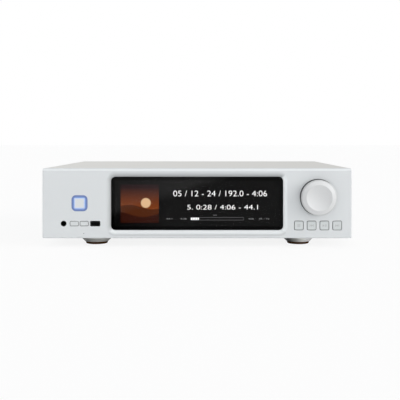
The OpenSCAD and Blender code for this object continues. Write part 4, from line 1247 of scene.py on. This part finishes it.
@dataclass
class PowerRing:
    """Lit ring round the power button."""

    outer_mm: float = 22.2
    outer_r_mm: float = 6.0
    width_mm: float = 2.8
    crown_mm: float = 0.12
    crown_points: int = 9
    depth_mm: float = 6.0

    def build(self) -> None:
        """Carries a crowned profile round the ring and sets it in the place of its node.

        The front of the profile rises by crown * sin(pi * t) across the width, t running from 0 to 1.
        """
        t = np.linspace(0.0, 1.0, self.crown_points)
        front = np.stack([t * self.width_mm, -self.crown_mm * np.sin(math.pi * t)], -1)
        back = np.array([[self.width_mm, self.depth_mm], [0.0, self.depth_mm]])
        middle = Box.of("power_button").middle
        surface = frame_sweep((self.outer_mm, self.outer_mm, self.outer_r_mm), np.vstack([front, back]),
                              Vector((middle.x, FACE_MM, middle.z)))
        piece = settle(surface.piece("power_ring_glow", GUIDE.material()), Body.CASE)
        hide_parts("power_light_ring")


@dataclass(frozen=True)
class Line:
    """A line of numbers: its text, middle along x, foot, whole width and height of its digits."""

    text: str
    x_mm: float
    z_mm: float
    width_mm: float
    cap_mm: float


@dataclass
class ScreenContent:
    """Lit content of the display, on the face of its module just behind the glass.

    Places are measured from the middle of the module.
    """

    module: Box = field(default_factory=lambda: Box.of("lcd_module"))
    gap_mm: float = 0.04
    thick_mm: float = 0.14
    picture_at_mm: tuple[float, float] = (-80.3, -0.65)
    picture_mm: float = 53.3
    bar_at_mm: tuple[float, float] = (27.9, -21.75)
    bar_mm: tuple[float, float] = (74.6, 4.0)
    bar_line_mm: float = 0.4
    bar_round_mm: float = 0.9
    played: int = 5
    played_pitch_mm: float = 2.35
    played_mm: tuple[float, float] = (1.8, 3.1)
    stroke_offset: float = -0.013
    letter_depth: float = 0.01
    titles: tuple[Line, ...] = (Line("05 / 12 - 24 / 192.0 - 4:06", 32.2, 9.65, 131.0, 7.9),
                                Line("5. 0:28 / 4:06 - 44.1", 35.5, -8.8, 98.8, 6.5))
    labels: tuple[Line, ...] = (Line("44.1", -39.2, -22.75, 8.6, 2.0), Line("0:28", -19.0, -22.75, 8.0, 2.0),
                                Line("24", 24.8, -17.6, 4.6, 1.7), Line("4:06", 75.2, -22.75, 7.4, 2.0),
                                Line("05 / 12", 93.6, -22.75, 14.4, 2.0))

    @property
    def back_mm(self) -> float:
        """Place of the backs of the lit plates."""
        return self.module.low.y - self.gap_mm

    @property
    def front_mm(self) -> float:
        """Place of the fronts of the lit plates."""
        return self.back_mm - self.thick_mm

    def set_in(self, x_mm: float, z_mm: float) -> tuple[float, float]:
        """Turns a place on the screen into a place in the frame."""
        return self.module.middle.x + x_mm, self.module.middle.z + z_mm

    def lettered(self, name: str, text: str) -> bpy.types.Mesh:
        """Makes a mesh of some text in Blender's own font.

        Args:
            name: Name of the mesh.
            text: The text.

        Returns:
            The mesh, lying flat at the origin.
        """
        curve = bpy.data.curves.new(name, "FONT")
        curve.body = text
        curve.offset = self.stroke_offset
        curve.extrude = self.letter_depth
        holder = linked(name, curve)
        bpy.context.view_layer.update()
        mesh = bpy.data.meshes.new_from_object(holder.evaluated_get(bpy.context.evaluated_depsgraph_get()))
        bpy.data.objects.remove(holder)
        mesh.name = name
        return mesh

    def write(self, name: str, line: Line, finish: Finish) -> None:
        """Writes a line of numbers, stretched to its width and digit height.

        Args:
            name: Name of the piece.
            line: The line.
            finish: Its finish.
        """
        mesh = self.lettered(name, line.text)
        flat = np.zeros(len(mesh.vertices) * 3, np.float32)
        mesh.vertices.foreach_get("co", flat)
        points = flat.reshape(-1, 3).astype(float)
        low, high = points.min(0), points.max(0)
        share = (points - low) / (high - low)
        x0, z0 = self.set_in(line.x_mm, line.z_mm)
        x = x0 + (share[:, 0] - 0.5) * line.width_mm
        y = self.back_mm - self.thick_mm * share[:, 2]
        z = z0 + points[:, 1] / high[1] * line.cap_mm
        mesh.vertices.foreach_set("co", (np.stack([x, y, z], -1) * MM).astype(np.float32).ravel())
        mesh.update()
        mesh.materials.clear()
        mesh.materials.append(finish.material())
        settle(linked(name, mesh), Body.CASE)

    def picture(self) -> None:
        """Sets the square picture on the screen."""
        side = self.picture_mm
        plate = bar(*self.set_in(*self.picture_at_mm), side, side, self.front_mm, self.back_mm)
        settle(plate.piece("screen_picture", PICTURE.material()), Body.CASE)

    def progress(self) -> None:
        """Draws the progress bar: a thin frame and the part already played in segments."""
        x, z = self.set_in(*self.bar_at_mm)
        profile = square_profile(self.bar_line_mm, self.front_mm, self.back_mm)
        rim = frame_sweep((*self.bar_mm, self.bar_round_mm), profile, Vector((x, 0.0, z)))
        settle(rim.piece("screen_bar_frame", LINE_MARK.material()), Body.CASE)
        first = x - self.bar_mm[0] / 2 + self.played_pitch_mm / 2 + self.bar_line_mm
        places = first + self.played_pitch_mm * np.arange(self.played)
        played = joined([bar(at, z, *self.played_mm, self.front_mm, self.back_mm) for at in places])
        settle(played.piece("screen_bar_played", WHITE_MARK.material()), Body.CASE)

    def build(self) -> None:
        """Puts picture, lines, progress bar and small labels on the screen."""
        self.picture()
        for number, line in enumerate(self.titles, 1):
            self.write(f"screen_line_{number}", line, WHITE_MARK)
        self.progress()
        for number, line in enumerate(self.labels, 1):
            self.write(f"screen_label_{number}", line, DIM_MARK)


@dataclass
class KeyMarks:
    """Printed marks on the four square keys, measured from the middle of a key."""

    ink_mm: float = 0.04
    height_mm: float = 3.6
    stroke_mm: float = 0.7
    list_mm: float = 4.2
    list_pitch_mm: float = 1.4
    stop_at_mm: float = 2.4
    step_mm: float = 2.2
    steps_at_mm: tuple[float, float] = (0.75, -1.5)
    play_mm: float = 2.8
    play_at_mm: float = -1.2
    pause_at_mm: tuple[float, float] = (1.2, 2.5)

    def line(self, x_mm: float) -> Surface:
        """Gives an upright bar."""
        return bar(x_mm, 0.0, self.stroke_mm, self.height_mm, -self.ink_mm, 0.0)

    def head(self, x_mm: float, width_mm: float) -> Surface:
        """Gives an arrow head."""
        return arrow(x_mm, 0.0, width_mm, self.height_mm, -self.ink_mm, 0.0)

    def skip(self, way: int) -> list[Surface]:
        """Gives two arrow heads and a stop, to the right for way 1 and to the left for way -1."""
        heads = [self.head(way * at, way * self.step_mm) for at in self.steps_at_mm]
        return [*heads, self.line(way * self.stop_at_mm)]

    def mark(self, name: str, key: str, body: Body, shapes: list[Surface]) -> None:
        """Prints a mark on one key.

        Args:
            name: Name of the piece.
            key: Node of the key.
            body: The key's body.
            shapes: The mark's shapes.
        """
        cap = Box.of(key)
        printed = joined(shapes).moved(Vector((cap.middle.x, cap.low.y, cap.middle.z)))
        settle(printed.piece(name, INK.material()), body)

    def build(self) -> None:
        """Prints a list, a step back, a play and pause, and a step on."""
        levels = (-self.list_pitch_mm, 0.0, self.list_pitch_mm)
        rows = [bar(0.0, z, self.list_mm, self.stroke_mm, -self.ink_mm, 0.0) for z in levels]
        play = [self.head(self.play_at_mm, self.play_mm), *(self.line(at) for at in self.pause_at_mm)]
        self.mark("menu_mark", "menu_key", Body.MENU, rows)
        self.mark("previous_mark", "previous_key", Body.PREVIOUS, self.skip(-1))
        self.mark("play_mark", "play_key", Body.PLAY, play)
        self.mark("next_mark", "next_key", Body.NEXT, self.skip(1))


@dataclass
class RockerMarks:
    """Bar and ring printed on the two halves of the mains rocker."""

    joint: str = "mains_switch_tip"
    ridge_mm: float = 5.0
    tilt_deg: float = 11.0
    along_mm: float = 3.9
    ink_mm: float = 0.05
    bar_mm: tuple[float, float] = (0.9, 3.4)
    ring_mm: float = 3.8
    ring_line_mm: float = 0.7

    def lay(self, flat: Surface, upper: bool) -> Surface:
        """Lays a flat mark on one half of the rocker.

        The halves meet in a ridge at ridge * (cos tilt, sin tilt) from the pivot. The upper one is upright,
        and the lower one leans out by twice the tilt.

        Args:
            flat: The mark, with its ink between depth 0 and the ink's thickness.
            upper: True for the upper half.

        Returns:
            The mark in place.
        """
        joints = frame["record"]["behaviour"]["joints"]
        pivot = next(Vector(row["pos_m"]) / MM for row in joints if row["name"] == self.joint)
        tilt = math.radians(self.tilt_deg)
        lean = 0.0 if upper else 2 * tilt
        cos, sin = math.cos(lean), math.sin(lean)
        turn = np.array([[1, 0, 0], [0, cos, -sin], [0, sin, cos]])
        ridge = Vector((0.0, math.cos(tilt), math.sin(tilt))) * self.ridge_mm
        shifted = flat.moved(Vector((0.0, 0.0, self.along_mm if upper else -self.along_mm)))
        return replace(shifted, points=shifted.points @ turn.T).moved(pivot + ridge)

    def build(self) -> None:
        """Prints the bar above and the ring below."""
        line = bar(0.0, 0.0, *self.bar_mm, 0.0, self.ink_mm)
        profile = square_profile(self.ring_line_mm, self.ink_mm, 0.0)
        ring = frame_sweep((self.ring_mm, self.ring_mm, self.ring_mm / 2), profile, Vector(ORIGIN))
        for name, mark, upper in (("rocker_bar", line, True), ("rocker_ring", ring, False)):
            settle(self.lay(mark, upper).piece(name, WHITE_INK.material()), Body.ROCKER)


@dataclass
class NetworkContacts:
    """Row of contacts inside the network socket."""

    count: int = 8
    pitch_mm: float = 1.02
    width_mm: float = 0.45
    height_mm: float = 0.35
    drop_mm: float = 3.4
    mouth_mm: tuple[float, float] = (3.0, 14.0)

    def build(self) -> None:
        """Runs straight contacts from the back of the mouth towards its opening, under its upper wall."""
        socket = Box.of("network_socket")
        ends = [socket.high.y - depth for depth in self.mouth_mm]
        places = socket.middle.x + self.pitch_mm * (np.arange(self.count) - (self.count - 1) / 2)
        height = socket.high.z - self.drop_mm
        row = joined([bar(x, height, self.width_mm, self.height_mm, *ends) for x in places])
        settle(row.piece("network_contacts", CONTACT.material()), Body.CASE)


@dataclass(frozen=True)
class Lamp:
    """Broad lamp: its name, the direction to it, its light, its width seen from the object, its colour."""

    name: str
    towards: Triple
    strength: float
    soft_deg: float
    colour: Colour


@dataclass
class Studio:
    """Pale floor, soft light and the camera at the photograph's angle."""

    camera_m: Triple = (0.0115, -1.234, 0.1490)
    lens_mm: float = 68.65
    sensor_mm: float = 36.0
    shift_x: float = -0.01345
    shift_y: float = -0.15
    view_m: float = 100.0
    floor_m: float = 40.0
    floor_tone: Colour = (0.95, 0.95, 0.95)
    floor_white: float = 0.86
    floor_gloss: float = 0.22
    sky_tone: Colour = (0.97, 0.985, 1.0)
    sky_level: float = 0.63
    metal_tone: Colour = (0.985, 0.992, 1.0)
    metal_level: float = 0.80
    metal_tilt: float = 0.46
    metal_side: Triple = (0.74, -0.25, 0.62)
    rear_fall: float = 1.0
    lamps: tuple[Lamp, ...] = (Lamp("upper_right", (0.86, -0.44, 0.26), 1.90, 35.0, (1.0, 0.985, 0.96)),
                               Lamp("upper_left", (-0.40, -0.45, 0.80), 0.40, 70.0, (0.97, 0.985, 1.0)))

    def floor(self) -> None:
        """Lays a pale floor: one flat square about the origin, at the height of the pads."""
        reach = np.array([[-1, -1], [1, -1], [1, 1], [-1, 1]]) * self.floor_m / 2
        mesh = bpy.data.meshes.new("floor")
        mesh.from_pydata(np.hstack([reach, np.zeros((4, 1))]).tolist(), [], [[0, 1, 2, 3]])
        made = bpy.data.materials.new("pale_floor")
        made.use_nodes = True
        made.node_tree.nodes.clear()
        tree = Tree(made.node_tree)
        matt = tree.add("ShaderNodeBsdfDiffuse", {"Color": rgba(self.floor_tone)})
        white = tree.add("ShaderNodeEmission", {"Color": WHITE, "Strength": 1.0})
        path = tree.add("ShaderNodeLightPath").outputs
        share = tree.larger(tree.times(path["Is Camera Ray"], self.floor_white),
                            tree.times(path["Is Glossy Ray"], self.floor_gloss))
        both = tree.add("ShaderNodeMixShader", {0: share, 1: matt.outputs[0], 2: white.outputs[0]})
        tree.add("ShaderNodeOutputMaterial", {"Surface": both.outputs[0]})
        mesh.materials.append(made)
        piece = linked("floor", mesh)

    def metal_light(self, tree: Tree) -> Socket:
        """Gives the sky that metal mirrors, brighter at the upper right and falling off at the rear right.

        Args:
            tree: The world's nodes.

        Returns:
            The sky's strength.
        """
        way = tree.add("ShaderNodeTexCoord").outputs["Generated"]
        side = tree.vector("DOT_PRODUCT", way, self.metal_side).outputs["Value"]
        x, y, _ = tree.axes(way)
        level = tree.plus(self.metal_level, tree.times(side, self.metal_tilt))
        return tree.minus(level, tree.times(tree.times(x, tree.larger(y, 0.0)), self.rear_fall))

    def world(self) -> None:
        """Sets an even sky that the camera and the glass see as white and metal as its own."""
        world = bpy.data.worlds.new("studio")
        bpy.context.scene.world = world
        world.use_nodes = True
        world.node_tree.nodes.clear()
        tree = Tree(world.node_tree)
        path = tree.add("ShaderNodeLightPath").outputs
        skies = ((rgba(self.sky_tone), self.sky_level), (rgba(self.metal_tone), self.metal_light(tree)),
                 (WHITE, 1.0))
        plain, metal, white = (tree.add("ShaderNodeBackground", {"Color": tone, "Strength": level}).outputs[0]
                               for tone, level in skies)
        lit = tree.add("ShaderNodeMixShader", {0: path["Is Glossy Ray"], 1: plain, 2: metal}).outputs[0]
        seen = tree.larger(path["Is Camera Ray"], path["Is Transmission Ray"])
        both = tree.add("ShaderNodeMixShader", {0: seen, 1: lit, 2: white})
        tree.add("ShaderNodeOutputWorld", {"Surface": both.outputs[0]})

    def light(self, lamp: Lamp) -> None:
        """Adds a broad lamp that metal doesn't mirror.

        Args:
            lamp: The lamp.
        """
        sun = bpy.data.lights.new(lamp.name, "SUN")
        sun.energy = lamp.strength
        sun.angle = math.radians(lamp.soft_deg)
        sun.color = lamp.colour
        holder = linked(lamp.name, sun)
        holder.rotation_euler = Vector(lamp.towards).to_track_quat("Z", "Y").to_euler()
        holder.visible_glossy = False

    def camera(self) -> None:
        """Places the level camera, with its frame moved down to the object."""
        lens = bpy.data.cameras.new("camera")
        lens.lens = self.lens_mm
        lens.sensor_width = self.sensor_mm
        lens.shift_x = self.shift_x
        lens.shift_y = self.shift_y
        lens.clip_end = self.view_m
        holder = linked("camera", lens)
        holder.location = self.camera_m
        holder.rotation_euler = (math.pi / 2, 0.0, 0.0)
        bpy.context.scene.camera = holder

    def build(self) -> None:
        """Sets floor, world, lamps and camera."""
        bpy.context.scene.view_settings.view_transform = "Standard"
        self.floor()
        self.world()
        for lamp in self.lamps:
            self.light(lamp)
        self.camera()


def main() -> None:
    """Builds the assemblies in order."""
    logging.basicConfig(level=logging.INFO, format="%(message)s")
    Studio().build()
    CarriedNodes().dress()
    PowerRing().build()
    ScreenContent().build()
    KeyMarks().build()
    RockerMarks().build()
    NetworkContacts().build()


if __name__ == "__main__":
    main()
